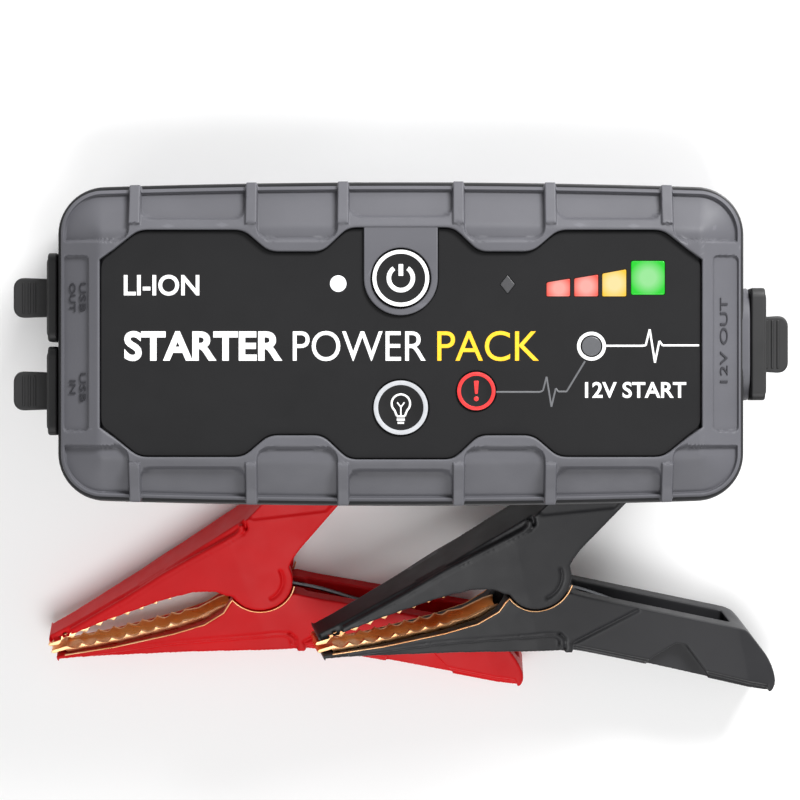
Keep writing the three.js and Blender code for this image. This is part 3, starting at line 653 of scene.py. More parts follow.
def front_height(x, y):
    s = depth_inside(x, y)
    plain = TOP - soft_crease(SLOPE_WIDTH + BUMPER_INSET - s, CREASE) * SLOPE_DROP / SLOPE_WIDTH
    rib = TOP + RIB_PROUD - soft_crease(SLOPE_WIDTH - 0.2 - s, CREASE) * SLOPE_DROP / SLOPE_WIDTH
    ribs = rib_mask(x, y)
    pockets = POCKET_DEPTH * pocket_mask(x, y) * (1 - ribs)
    return (plain * (1 - ribs) + rib * ribs) - pockets - end_mask(x, y)


def back_height(x, y):
    drop = math.tan(LEAN)
    s = depth_inside(x, y)
    plain = soft_crease(BACK_SLOPE + BUMPER_INSET - s, BACK_CREASE) * drop
    floor = plain + (np.maximum(BACK_POCKET_DEPTH - plain, 0)) * pocket_mask(x, y)
    ribs = rib_mask(x, y)
    rib = np.maximum(soft_crease(BACK_SLOPE + 0.7 - s, BACK_CREASE) * drop, 0.17)
    return floor * (1 - ribs) + rib * ribs


def cluster(limit, edges):
    """Sample places from -limit to limit, closer together round the edges."""
    low, high = -limit, limit
    plain = np.linspace(low, high, int(round((high - low) / SAMPLE_STEP)) + 1)
    keep = [p for p in plain if all(abs(p - e) > EDGE_CLEAR for e in edges)]
    near = [e + d for e in edges for d in EDGE_STEPS if low < e + d < high]
    return np.array(sorted(set(np.round(keep + near + [low, high], 3))))


def bumper_rays(inner_y, inner_x, corner_x, corner_y):
    """Pairs of inner and outer points all round the bumper, anticlockwise from the lower left."""
    half = RIB_WIDTH / 2
    edges = [side * (x + d) for side in (-1, 1) for x in RIB_X for d in (-half, half)]
    rays = [((x, -inner_y(x)), (x, -side_edge(x, BUMPER_INSET))) for x in cluster(corner_x, edges)]
    upper_right = corner_rays(inner_y, inner_x, corner_x, corner_y)
    rays += [((ix, -iy), (ox, -oy)) for (ix, iy), (ox, oy) in upper_right]
    rays += [((inner_x, y), (HALF_LENGTH - BUMPER_INSET, y)) for y in cluster(corner_y, END_POCKET[2:])]
    rays += reversed(upper_right)
    inner, outer = (np.array(ends) for ends in zip(*rays))
    return np.vstack([inner, -inner]), np.vstack([outer, -outer])


def corner_rays(inner_y, inner_x, corner_x, corner_y, count=64):
    """Rays that fan round one corner, strictly between the last side ray and the first end ray."""
    r = CORNER_RADIUS - BUMPER_INSET
    cx = HALF_LENGTH - CORNER_RADIUS
    cy = HALF_WIDTH - BOW - CORNER_RADIUS
    straight_x = np.linspace(corner_x, cx, 12)
    outline = [(x, side_edge(x, BUMPER_INSET)) for x in straight_x]
    outline += arc(cx, cy, r, 90, 0, 40)
    outline += [(cx + r, y) for y in np.linspace(cy, corner_y, 6)]
    outer = resampled(outline, count + 2)[1:-1]
    start, end = np.array((corner_x, inner_y(corner_x))), np.array((inner_x, corner_y))
    inner = [start + (end - start) * (k + 1) / (count + 1) for k in range(count)]
    return list(zip(inner, outer))


def resampled(points, count):
    points = np.array(points)
    keep = np.concatenate([[True], np.linalg.norm(np.diff(points, axis=0), axis=1) > 1e-6])
    points = points[keep]
    along = np.concatenate([[0], np.cumsum(np.linalg.norm(np.diff(points, axis=0), axis=1))])
    places = np.linspace(0, along[-1], count)
    return np.column_stack([np.interp(places, along, points[:, k]) for k in (0, 1)])


def bumper_mesh(inner, outer, height, base, up, rib_reach, hidden, inner_base):
    """A closed ring. `height` gives its outer face, which looks along `up` (1 or -1), `base` the
    level of its free edge, and `hidden` the (inset, level) steps of the face that lies on the
    housing. Ribs stand out by `rib_reach` at that edge."""
    ray = outer - inner
    length = np.linalg.norm(ray, axis=1)
    unit = ray / length[:, None]
    depth_in = depth_inside(inner[:, 0], inner[:, 1])
    rings = []
    first, last = FROM_INNER[-1], FROM_OUTER[0]
    stations = [np.full(len(inner), d) for d in FROM_INNER]
    stations += [first + (length - last - first) * f for f in np.linspace(0, 1, BUMPER_STEPS)[1:-1]]
    stations += [length - d for d in FROM_OUTER]
    for d in stations:
        p = inner + unit * d[:, None]
        z = height(p[:, 0], p[:, 1])
        inner_round = FILLET - np.sqrt(np.maximum(FILLET**2 - np.maximum(FILLET - d, 0) ** 2, 0))
        outer_round = EDGE_DROP * np.maximum(1 - (length - d) / FILLET, 0) ** 2
        z = z - up * (inner_round + outer_round)
        out = rib_mask(p[:, 0], p[:, 1]) * np.clip(1 - (length - d) / RIB_SLOPE, 0, 1) * rib_reach
        p = p + unit * out[:, None]
        rings.append(np.column_stack([p, z]))
    edge = rings[-1]
    for share in (0.25, 0.5, 0.75, 0.95):
        rings.append(np.column_stack([edge[:, :2], edge[:, 2] + (base - edge[:, 2]) * share]))
    rings.append(np.column_stack([edge[:, :2] - unit * 0.3, np.full(len(edge), base)]))
    for inset, level in hidden:
        share = (inset - BUMPER_INSET) / (depth_in - BUMPER_INSET)
        p = outer - ray * np.minimum(share, 0.97)[:, None]
        rings.append(np.column_stack([p, np.full(len(p), level)]))
    rings.append(np.column_stack([inner, np.full(len(inner), inner_base)]))
    return band(rings)


def panel_edge(grow):
    """Corners of the wavy edge of the face panel, widened by `grow`, one quarter of the way round."""
    shifts = ((1, 0), (1, 1), (0, 1), (-0.5, 1), (-0.5, 1), (0.5, 1), (0.5, 1))
    return [(x + grow * dx, y + grow * dy) for (x, y), (dx, dy) in zip(PANEL_CORNERS, shifts)]


def build_front_bumper():
    edge = panel_edge(GAP)
    middle = (0, PANEL_CORNERS[-1][1] + GAP)
    quarter = rounded([(edge[0][0], 0), *edge, middle], PANEL_CORNER_RADIUS)
    line = np.array([p for p in quarter if p[1] > 5 and p[0] > 4] + [middle])
    line = line[np.argsort(line[:, 0])]

    def inner_y(x):
        return float(np.interp(abs(x), line[:, 0], line[:, 1]))

    inner, outer = bumper_rays(inner_y, edge[0][0], 71.4, 20.9)
    base, roof = FRONT_STEP + GAP, WALL_TOP + GAP
    hidden = ((NECK_INSET - GAP, base), (NECK_INSET - GAP, 38.7), (11.2, roof))
    mesh = bumper_mesh(inner, outer, front_height, base, 1, FRONT_RIB_REACH, hidden, roof)
    piece("front_bumper_skin", mesh, GREY_RUBBER, slot="grey_rubber", replaces=["front_bumper"], sharp=50)
    r = TONGUE_RADIUS
    tongue = [(-r, TONGUE_ROOT)] + arc(0, TONGUE_Y, r, 180, 360, 40) + [(r, TONGUE_ROOT)]
    hole = circle(0, TONGUE_Y, POWER_KEY[2] + GAP, 64)
    mesh = plate([tongue, hole], WALL_TOP + GAP, TONGUE_TOP, 0.35, 3)
    piece("bumper_tongue", mesh, GREY_RUBBER, slot="grey_rubber")


NAME_THICKNESS, NAME_RAISED = 0.5, 0.05


def build_port_names():
    """Small raised words on the floor of the end pockets, beside each port, coloured darker than the bumper
    as painted shade of moulded lettering.
    """
    words = (
        ("usb_out_name_1", "USB", -79.4, 7.9, 15.1, 1.7),
        ("usb_out_name_2", "OUT", -82, 7.9, 15.1, 1.7),
        ("usb_in_name_1", "USB", -79.4, -14.6, -7.4, 1.7),
        ("usb_in_name_2", "IN", -82, -12.6, -9.2, 1.7),
        ("outlet_name", "12V OUT", 80.6, -9.8, 11.4, 2.2),
    )
    for name, text, x, y0, y1, tall in words:
        side = 1 if x > 0 else -1
        mesh = lettering(text, x - tall / 2, x + tall / 2, y0, y1, NAME_THICKNESS, 0.0, side * 90)
        levels = [front_height(x + end * tall / 2, (y0 + y1) / 2) for end in (-1, 1)]
        lowest, highest = min(levels), max(levels)
        slope = Matrix.Rotation(math.atan2(lowest - highest, tall) * side, 4, "Y")
        away = Matrix.Translation((-x, 0, 0))
        mesh = turned(mesh, away.inverted() @ slope.inverted() @ away)
        level = (lowest + highest) / 2 + NAME_RAISED
        piece(name, at_height(mesh, level), PAINTED_SHADE_RUBBER, slot="grey_rubber")


def build_rear_bumper():
    def inner_y(x):
        return float(side_edge(x, BACK_OPENING))

    corner = HALF_LENGTH - BACK_OPENING
    inner, outer = bumper_rays(inner_y, corner, corner - 0.4, HALF_WIDTH - BOW - BACK_OPENING - 0.4)
    neck, floor = NECK_INSET - GAP, BACK - GAP
    hidden = ((neck, REAR_STEP), (neck, floor))
    mesh = bumper_mesh(inner, outer, back_height, REAR_STEP, -1, BACK_RIB_REACH, hidden, floor)
    piece("rear_bumper_skin", mesh, GREY_RUBBER, slot="grey_rubber", replaces=["rear_bumper"], sharp=50)


build_front_bumper()
build_port_names()
build_rear_bumper()

# ---- housing


def belt(low, high, r):
    """Outer profile of a housing wall that shows between the bumpers, its edges rounded by r."""
    near = r * 0.3
    return [(r, low), (near, low + near), (0, low + r), (0, high - r), (near, high - near), (r, high)]


def port_outline(y, half_width, half_height, radius=0.8, steps=5):
    """A rounded rectangle in (y, z) round a port's middle."""
    return rectangle(y - half_width, y + half_width, PORT_Z - half_height, PORT_Z + half_height,
                     radius, steps)


def build_front_housing():
    low, high = SPLIT + GAP / 2, FRONT_STEP
    profile = belt(low, high, 0.5) + [
        (NECK_INSET, high), (NECK_INSET, 38.2), (11.5, 42.0), (12.2, WALL_TOP), (14, WALL_TOP),
        (14, WALL_TOP - 2.4), (7, 38.7), (7, 30.2), (WALL, 30.2), (WALL, low)]
    shell = sweep(profile)
    holes = [
        plate_across([port_outline(PORT_Y, 7.3, 3.8)], -100, -80),
        plate_across([port_outline(-PORT_Y, 5.2, 2.8)], -100, -80),
        plate_across([stadium(11.5, 6, 0, PORT_Z)], 79, 100),
        plate([rectangle(-13.5, 13.5, 30, 60, 1)], 19.3, 29.7),
    ]
    shell = boolean(shell, holes)
    roof_edge = case_outline(13.5)
    keys = [circle(x, y, 2.4) for x, y, _, _ in (POWER_KEY, LIGHT_KEY, OVERRIDE_KEY)]
    roof = plate([roof_edge, *keys], 39.7, WALL_TOP, 0.1)
    boss = plate_across([stadium(14.2, 8.1, 0, PORT_Z), stadium(11.5, 6, 0, PORT_Z)], 82, OUTLET_FACE, 0.5, 3)
    piece("front_housing_shell", shell, BLACK_PLASTIC, slot="black_plastic", replaces=["front_housing"])
    piece("front_housing_roof", roof, BLACK_PLASTIC, slot="black_plastic")
    piece("outlet_boss", boss, GREY_RUBBER, slot="grey_rubber")


def build_rear_housing():
    low, high = REAR_STEP + GAP, SPLIT - GAP / 2
    shell = sweep(belt(low, high, 0.4) + [
        (WALL, high), (WALL, low + 2.4), (7, low + 2.4), (7, BACK + 0.6), (NECK_INSET, BACK + 0.6),
        (NECK_INSET, low)])
    field = rectangle(-34, 34, -12.5, 12.5, 3)
    sockets = [circle(x, y, 3.1, 32) for x, y in SCREWS]
    back = plate([case_outline(NECK_INSET + 0.2), field, *sockets], BACK, BACK + WALL, 0.25)
    floor = plate([rectangle(-35, 35, -13.5, 13.5, 3)], BACK + 0.5, BACK + WALL - 0.3, 0.1)
    ribs = [block(x - 0.4, x + 0.4, -9, 9, BACK + 0.1, BACK + 0.9, 0.15) for x in np.arange(-30, 30.1, 4)]
    cup = [(r, BACK + z) for r, z in ((1.95, 2.7), (3.1, 2.7), (3.3, 2), (3.3, 3.6), (1.95, 3.6))]
    cups = [turning(cup, 32, x, y) for x, y in SCREWS]
    parts = joined([shell, back, floor, *ribs, *cups])
    piece("rear_housing_shell", parts, BLACK_PLASTIC, slot="black_plastic", replaces=["rear_housing"])


def build_screws():
    head = [(0, 3.9), (1.3, 3.9), (2.75, 3.9), (2.8, 3.6), (2.75, 2.9), (2.4, 2.3), (1.6, 1.95), (0, 1.85)]
    for number, (x, y) in enumerate(SCREWS, 1):
        body = turning(head, 40, x, y)
        slots = [block(x - 1.7, x + 1.7, y - 0.35, y + 0.35, 1, 2.9, 0.05, 0.1),
                 block(x - 0.35, x + 0.35, y - 1.7, y + 1.7, 1, 2.9, 0.05, 0.1)]
        piece(f"housing_screw_{number}_head", boolean(body, slots), SCREW_STEEL, slot="screw_steel",
              replaces=[f"housing_screw_{number}"])


build_front_housing()
build_rear_housing()
build_screws()

# ---- face panel, lenses and print

LENS_BACK, LENS_TOP, LENS_ROUND = 40.2, 43.75, 0.25
INK = 0.08  # how thick the print is
TITLE_Y = (-4.4, 3.1)


def quad(x0, x1, y0, left_top, right_top, radius=0.35):
    return rounded([(x0, y0), (x1, y0), (x1, right_top), (x0, left_top)], radius, 3)


LENSES = {
    "status_lens": circle(-15.6, 14.9, 2.1),
    "error_lens": rounded([(24.7, 14.7), (26.6, 12.3), (28.5, 14.7), (26.6, 17.1)], 0.25, 3),
    "boost_lens": circle(47.5, -0.7, 2.5),
    "charge_lens_1": quad(36.3, 42.2, 11.7, 15.2, 16.2),
    "charge_lens_2": quad(43.2, 49.2, 11.7, 16.2, 17.2),
    "charge_lens_3": quad(50.2, 56.2, 11.7, 17.4, 18.5),
    "charge_lens_4": quad(57.4, 65.8, 12.1, 20.6, 20.6, 0.5),
}


def grown(outline, amount):
    centre = np.mean(outline, axis=0)
    reach = np.max(np.abs(np.array(outline) - centre), axis=0)
    return [tuple(centre + (np.array(p) - centre) * (1 + amount / reach)) for p in outline]


def build_panel():
    upper = panel_edge(0)
    upper += [(-x, y) for x, y in reversed(upper)]
    corners = upper + [(x, -y) for x, y in reversed(upper)]
    mesh = plate([rounded(corners, PANEL_CORNER_RADIUS)], WALL_TOP + GAP, PANEL_TOP, 0.15, 2)
    r = TONGUE_RADIUS + GAP
    openings = [[(r, 35)] + arc(0, TONGUE_Y, r, 0, -180, 48) + [(-r, 35)]]
    openings += [circle(x, y, radius + GAP, 64) for x, y, radius, _ in (LIGHT_KEY, OVERRIDE_KEY)]
    openings += [grown(edge, 0.12) for edge in LENSES.values()]
    mesh = boolean(mesh, [plate([outline], 40, 46, 0) for outline in openings])
    piece("face_panel_film", mesh, PANEL_FILM, slot="panel_film", replaces=["face_panel"], sharp=10)


# Each lens: slot, material name, colour, glow and its strength; for a gradient also the middle of
# the light, how far it reaches, and its colour there.
LENS_LOOK = {
    "status_lens": ("white_lens", "status_glow", (190, 192, 196), (250, 250, 252), 0.9),
    "error_lens": ("dark_lens", "error_window", (66, 66, 68), (60, 60, 62), 0.2),
    "boost_lens": ("dark_lens", "boost_window", (86, 87, 90), (70, 70, 72), 0.2),
    "charge_lens_1": ("red_lens", "charge_glow_1", (110, 30, 26), (236, 98, 84), 0.85,
                      (39.4, 13.7), 3.2, (246, 186, 176)),
    "charge_lens_2": ("red_lens", "charge_glow_2", (110, 30, 26), (238, 100, 84), 0.85,
                      (46.2, 14.2), 3.4, (246, 190, 180)),
    "charge_lens_3": ("yellow_lens", "charge_glow_3", (120, 90, 20), (246, 196, 60), 0.85,
                      (53.2, 14.9), 3.8, (246, 224, 178)),
    "charge_lens_4": ("green_lens", "charge_glow_4", (10, 80, 16), (36, 216, 46), 0.85,
                      (61.6, 16.4), 4.6, (168, 232, 166)),
}


def build_lenses():
    for name, outline in LENSES.items():
        slot, *look = LENS_LOOK[name]
        mesh = plate([grown(outline, -0.05)], LENS_BACK, LENS_TOP, LENS_ROUND, 3)
        piece(name + "_window", mesh, glowing(*look), slot=slot, replaces=[name])


def ring(x, y, inner, outer, z, thickness=INK):
    return plate([circle(x, y, outer, 72), circle(x, y, inner, 72)], z, z + thickness, 0.02, 1)


def ink_line(points, width, z):
    """Printed line with sharp corners: one stroke for each straight stretch."""
    strokes = [stroke(ends, width, INK) for ends in zip(points, points[1:])]
    return at_height(joined(strokes), z + INK / 2)


def build_print():
    z = PANEL_TOP

    def word(text, x0, x1, y0, y1, weight):
        return at_height(lettering(text, x0, x1, y0, y1, INK, weight), z + INK / 2)

    white = [
        word("LI-ION", -69, -50.2, 11.9, 17.1, 0.02),
        word("STARTER", -68.9, -29.5, *TITLE_Y, 0.035),
        word("POWER", -26.9, 6.2, *TITLE_Y, 0),
        word("12V START", 45.9, 71.1, -13.6, -9.6, 0.02),
        ring(47.5, -0.7, 2.75, 3.6, z),
        ink_line([(51.1, -0.6), (60.1, -0.6), (61, -0.5), (62, 3.5), (63.3, -4.8), (64.4, 0.6), (65.2, -0.5),
                  (74.3, -0.5)], 0.5, z),
    ]
    piece("print_white", joined(white), WHITE_INK)
    piece("print_yellow", word("PACK", 9.1, 34.4, *TITLE_Y, 0), YELLOW_INK)
    grey = ink_line([(23.8, -12.1), (34.6, -12.1), (35.4, -11.8), (36.3, -8.3), (37.5, -15.8), (38.6, -11.2),
                     (39.2, -12), (41.3, -12), (45.9, -4.4)], 0.45, z)
    piece("print_grey", grey, DARK_INK)


build_panel()
build_lenses()
build_print()

# ---- keys


KEY_ROUND, KEY_ANGLES = 0.5, np.radians((0, 22, 45, 68, 90))
STEM_RADIUS, STEM_FOOT = 1.8, 34.2
SYMBOL_HEIGHT, ICON_HEIGHT = 0.12, 0.1


def key_cap(x, y, radius, top, skirt, dish):
    """A round key: dished face, soft shoulder, and a stem that reaches its switch."""
    r = KEY_ROUND
    low = top - skirt
    face = [(0, top - dish), (radius * 0.4, top - dish), (radius * 0.72, top - dish * 0.7),
            (radius - r - 0.4, top)]
    shoulder = [(radius - r + r * math.sin(a), top - r + r * math.cos(a)) for a in KEY_ANGLES]
    stem = [(radius, low), (STEM_RADIUS, low), (STEM_RADIUS, STEM_FOOT), (0, STEM_FOOT)]
    return turning(face + shoulder + stem, 96, x, y)


def build_power_key():
    x, y, radius, top = POWER_KEY
    cap = key_cap(x, y, radius, top, 2.1, 0.25)
    piece("power_key_cap", cap, KEY_RUBBER, "power_key", "button_rubber", ["power_button"])
    face = top - 0.24
    symbol = stroke(arc(x, y, 3.0, 125, 415, 40), 1.15, SYMBOL_HEIGHT)
    stem = stroke([(x, y + 0.6), (x, y + 3.5)], 1.15, SYMBOL_HEIGHT)
    marks = joined([at_height(symbol, face), at_height(stem, face), ring(x, y, 6.1, 7.05, top - 0.12, 0.2)])
    piece("power_key_print", marks, WHITE_INK, "power_key")


def build_light_key():
    x, y, radius, top = LIGHT_KEY
    cap = key_cap(x, y, radius, top, 1.25, 0.2)
    piece("light_key_cap", cap, KEY_RUBBER, "light_key", "button_rubber", ["light_button"])
    bulb = [(1.0, -2.1), *arc(0, 1.0, 2.3, -48, 228, 30), (-1.0, -2.1)]
    lines = (
        (bulb, 0.5),
        (((-1.0, -2.2), (1.0, -2.2)), 0.5),
        (((-1.0, -3.0), (1.0, -3.0)), 0.55),
        (((-0.8, -3.8), (0.8, -3.8)), 0.55),
        (((0, -2.1), (0, 0.3)), 0.35),
        (((0, 0.1), (-0.9, 1.3)), 0.35),
        (((0, 0.1), (0.9, 1.3)), 0.35),
    )
    icon = joined([stroke([(x + u, y + v) for u, v in line], width, ICON_HEIGHT) for line, width in lines])
    piece("light_key_icon", at_height(icon, top - 0.19), WHITE_INK, "light_key")
    piece("light_key_ring", ring(x, y, 5.65, 6.75, top - 0.1, 0.16), GREY_INK, "light_key")


def build_override_key():
    x, y, radius, top = OVERRIDE_KEY
    cap = key_cap(x, y, radius, top, 1.25, 0.12)
    piece("override_key_cap", cap, KEY_RUBBER, "override_key", "button_rubber", ["override_button"])
    low, high = top - 0.1, top + 0.04
    wedge = [(x - 0.62, y + 2.6), (x - 0.34, y - 0.7), (x + 0.34, y - 0.7), (x + 0.62, y + 2.6)]
    mark = plate([rounded(wedge, 0.25, 3)], low, high, 0.03, 1)
    dot = turning([(0, low), (0.6, low), (0.6, top), (0.5, high), (0, high)], 24, x, y - 1.9)
    marks = joined([mark, dot, ring(x, y, 3.85, 4.75, low, 0.16)])
    piece("override_key_print", marks, RED_INK, "override_key")


build_power_key()
build_light_key()
build_override_key()

# ---- port covers


TAB_REACH, TAB_THICK, GRIP_THICK, PAD_INSET = 98.2, 1.3, 1.55, 1.6


def cover(name, body, side, y, face, thickness, half_width, half_height, tab_half, plug):
    """A moulded rubber cap: rimmed flange, pad, ribbed pull tab, and a stopper with a bead."""
    start = face + GAP
    outside = start + thickness
    middle = start + thickness / 2
    rim = plate_across([port_outline(y, half_width, half_height, 2.5, 6)], start, outside, 0.55, 4)
    pad_outline = port_outline(y, half_width - PAD_INSET, half_height - PAD_INSET, 1.8, 6)
    pad = plate_across([pad_outline], outside - 0.5, outside + 0.35, 0.3, 3)
    root, end = tab_half * 0.94, tab_half - 1.6
    outline = rounded([(middle, y - root), (middle, y + root),
                       (TAB_REACH - 1.5, y + tab_half, 1.6), (TAB_REACH, y + end, 1.2),
                       (TAB_REACH, y - end, 1.2), (TAB_REACH - 1.5, y - tab_half, 1.6)], 0.3, 5)
    tab = [plate([outline], -TAB_THICK, TAB_THICK, 0.5, 4)]
    grip = tab_half - 1.1
    for x in np.arange(TAB_REACH - 5.4, TAB_REACH - 1.3, 1.4):
        tab.append(block(x - 0.35, x + 0.35, y - grip, y + grip, -GRIP_THICK, GRIP_THICK, 0.25))
    plug_width, plug_height, plug_length = plug
    tip = face - plug_length
    stopper = plate_across([port_outline(y, plug_width, plug_height)], tip, middle, 0.3)
    bead_outline = port_outline(y, plug_width + 0.1, plug_height + 0.1)
    plug_bead = plate_across([bead_outline], tip + 0.5, tip + 1.0, 0.1)
    mesh = joined([rim, pad, *(at_height(part, PORT_Z) for part in tab), stopper, plug_bead])
    if side < 0:
        mesh.transform(Matrix.Diagonal((-1, 1, 1, 1)))
        mesh.flip_normals()
    piece(name + "_flap", mesh, COVER_RUBBER, body, "cover_rubber", [name])


cover("usb_out_cover", "usb_out_flap", -1, PORT_Y, HALF_LENGTH, 2.4, 11.2, 7.8, 5.1, (5.6, 2.2, 1.4))
cover("usb_in_cover", "usb_in_flap", -1, -PORT_Y, HALF_LENGTH, 2.4, 11.2, 7.8, 5.0, (3.8, 1.6, 1.4))
cover("output_cover", "output_flap", 1, 0, OUTLET_FACE, 3.6, 14.2, 7.8, 7.3, (8.6, 2.8, 1.6))

# ---- clamps

# The clamp is seen from the side, with x from the pivot and the jaws towards -x. In the outlines,
# y is the height from the jaws' closing line, away from the other arm, and a third number is a
# corner's own radius. In ledge, bead and steps, y is the height from the pivot. z is across the
# clamp and 0 in its middle.
ARM_HALF, TIP_HALF, END_HALF, TAPER_X = 7.5, 4.9, 6, (-60, -4, 48.6, 57)
BOSS_RADIUS, LUG_RADIUS, PIN_RADIUS, PIN_HALF = 8.6, 6, 2, 6.5
CHANNEL_HALF, CHEEK_INSIDE, LUG_OUTSIDE, LUG_INSIDE = 3.7, 4.7, 4.4, 2.8
JAW_HALF, JAW_INSIDE = 3.4, 2.6
TOOTH_PITCH, TOOTH_HEIGHT, TOOTH_REACH = 4, 1.1, 0.7
BEAD_RADIUS, LEDGE_DEPTH, LINER_RADIUS, LINER_SUNK = 0.75, 1.5, 0.22, 0.24
INLET_RADIUS, INLET_HALF_LENGTH, INLET_TURN, INLET_X, INLET_Y = 3, 10, math.radians(30), 50, 37
SKIN, SOFTENING, KEPT = 0.32, 4, 0.3  # of an arm's skin: voxel size, smoothing rounds, share of faces kept

JAW_EDGE = ((-58.5, 2.0), (-43, 3.9), (-27, 5.0), (-18, 4.9), (-12, 3.2), (-9.4, 0.9))
JAW_BACK = ((-25.7, 11.8, 6), (-33, 9.9, 6), (-52, 4.9, 6), (-58.5, 3.6, 0.6))
CHANNEL_BACK = ((2.0, 17.2), (-24.0, 9.4), (-40.0, 6.0), (-56.0, 2.9))
CLOSING_LINE = 2.7  # the jaws close this far below the pivot

ARMS = {
    "upper": {
        "side": 1,
        "body": "lever",
        "pivot_side": ((-6, 0), (8, 3.3)),
        "handle": ((11.4, 6.8, 3), (46.3, 29.0, 3), (48.6, 32.0, 3), (51.2, 41.0, 4), (51.0, 46.2, 3),
                   (48.5, 50.0, 2)),
        "back": ((27.0, 35.4, 8), (16.5, 28.6, 8), (4.5, 20.8, 4), (0.0, 19.3, 3)),
        "channel": ((44.5, 43.0), (28.0, 32.6), (14.0, 23.6)),
        "ledge": ((-58, -0.4), (-50, 0.6), (-43.4, 2.3), (-34, 4.8), (-23, 8.1), (-16, 9.8), (-5, 12.3),
                  (0.6, 13.6), (2.3, 15.0), (2.4, 16.8), (0.5, 20), (-10, 24), (-58, 12)),
        "bead": ((-52, 0.9), (-43.4, 3.1), (-34, 5.6), (-23, 8.9), (-16, 10.6), (-5, 13.1), (-1.2, 14.0),
                 (0.6, 15.0), (0.9, 16.4)),
        "steps": (
            (((-4.3, 26), (4.4, 16.8), (23, 13.0), (60, 36), (60, 60), (20, 60)), 0.45),
            (((-31, 7.5), (-22.4, 9.9), (-22.4, 20), (-31, 20)), 2.6),
        ),
    },
    "lower": {
        "side": -1,
        "body": "clamp",
        "pivot_side": ((-8, 0.4), (7.6, 3.9)),
        "handle": ((11.4, 6.4, 3), (49.0, 28.0, 3), (50.9, 29.6, 2), (55.5, 40.2, 4), (56.0, 47.0, 3),
                   (53.8, 49.6, 2)),
        "back": ((27.0, 33.4, 8), (16.5, 27.2, 8), (4.5, 20.4, 4), (0.0, 19.3, 3)),
        "channel": ((44.5, 40.6), (28.0, 30.8), (14.0, 22.4)),
        "ledge": ((-58, -5.4), (-43, -7.0), (-27, -9.6), (-14, -12.5), (-1, -15.3), (2.4, -16.6),
                  (3.6, -18.6), (3.2, -21), (0, -26), (-58, -26)),
        "bead": ((-52, -6.5), (-43, -7.8), (-27, -10.4), (-14, -13.3), (-1.6, -16.1), (1.2, -17.1),
                 (2.4, -18.8), (2.0, -20.8)),
        "steps": (
            (((4.4, -20.3), (23.9, -16.3), (23.9, -17.3), (4.4, -21.3)), 0.7),
            (((22.8, -33.4), (24.3, -31.4), (31.6, -29.4), (34, -30.7), (38.9, -42.6), (34, -44)), 3.0),
            (((4.9, -21.0), (39.1, -40.6), (53.4, -49.5), (52, -62), (0, -40)), 0.8),
            (((4.9, -22.2), (39.1, -41.8), (53.4, -50.7), (52, -62), (0, -40)), 1.9),
        ),
    },
}


def seen_from_side(points, side):
    """Outline points brought to the pivot's height, and turned over for the lower arm."""
    return [(x, side * y - CLOSING_LINE, *radius) for x, y, *radius in points]


def half_thickness(x):
    return float(np.interp(x, TAPER_X, (TIP_HALF, ARM_HALF, ARM_HALF, END_HALF)))


def slab(depth):
    """Everything between the clamp's two side faces, each moved inwards by `depth`."""
    edge = [(x, half_thickness(x) - depth) for x in TAPER_X]
    plan = edge + [(x, -z) for x, z in reversed(edge)]
    return turned(plate([plan], -80, 80, 0), Matrix.Rotation(math.pi / 2, 4, "X"))


def disc(radius, bottom, top, steps=64):
    return plate([circle(0, 0, radius, steps)], bottom, top, 0)


def face_cutter(outline, depth):
    """Cuts that area of both side faces `depth` deep."""
    return boolean(plate([outline], -ARM_HALF - 3, ARM_HALF + 3, 0), [slab(depth)])


def bead(points, radius, sunk):
    """A round rib along both side faces, following their taper."""
    lines = [[(x, y, face * (half_thickness(x) - sunk)) for x, y in points] for face in (-1, 1)]
    return [rod(line, radius, 3) for line in lines]


def arm_channel(arm):
    start = ((-56, -6), (-12, -6), (14, 2), (47, 24), (47.5, 38))
    outline = seen_from_side([*start, *arm["channel"], *CHANNEL_BACK], arm["side"])
    return plate([[p[:2] for p in outline]], -CHANNEL_HALF, CHANNEL_HALF, 0)


def lead_inlet(side):
    r, half = INLET_RADIUS, INLET_HALF_LENGTH
    hole = turning([(0, -half), (r, -half), (r, half), (0, half)], 32)
    hole.transform(Matrix.Rotation(math.pi / 2, 4, "Y"))
    hole.transform(Matrix.Rotation(side * INLET_TURN, 4, "Z"))
    return turned(hole, Matrix.Translation((INLET_X, side * INLET_Y - CLOSING_LINE, 0)))


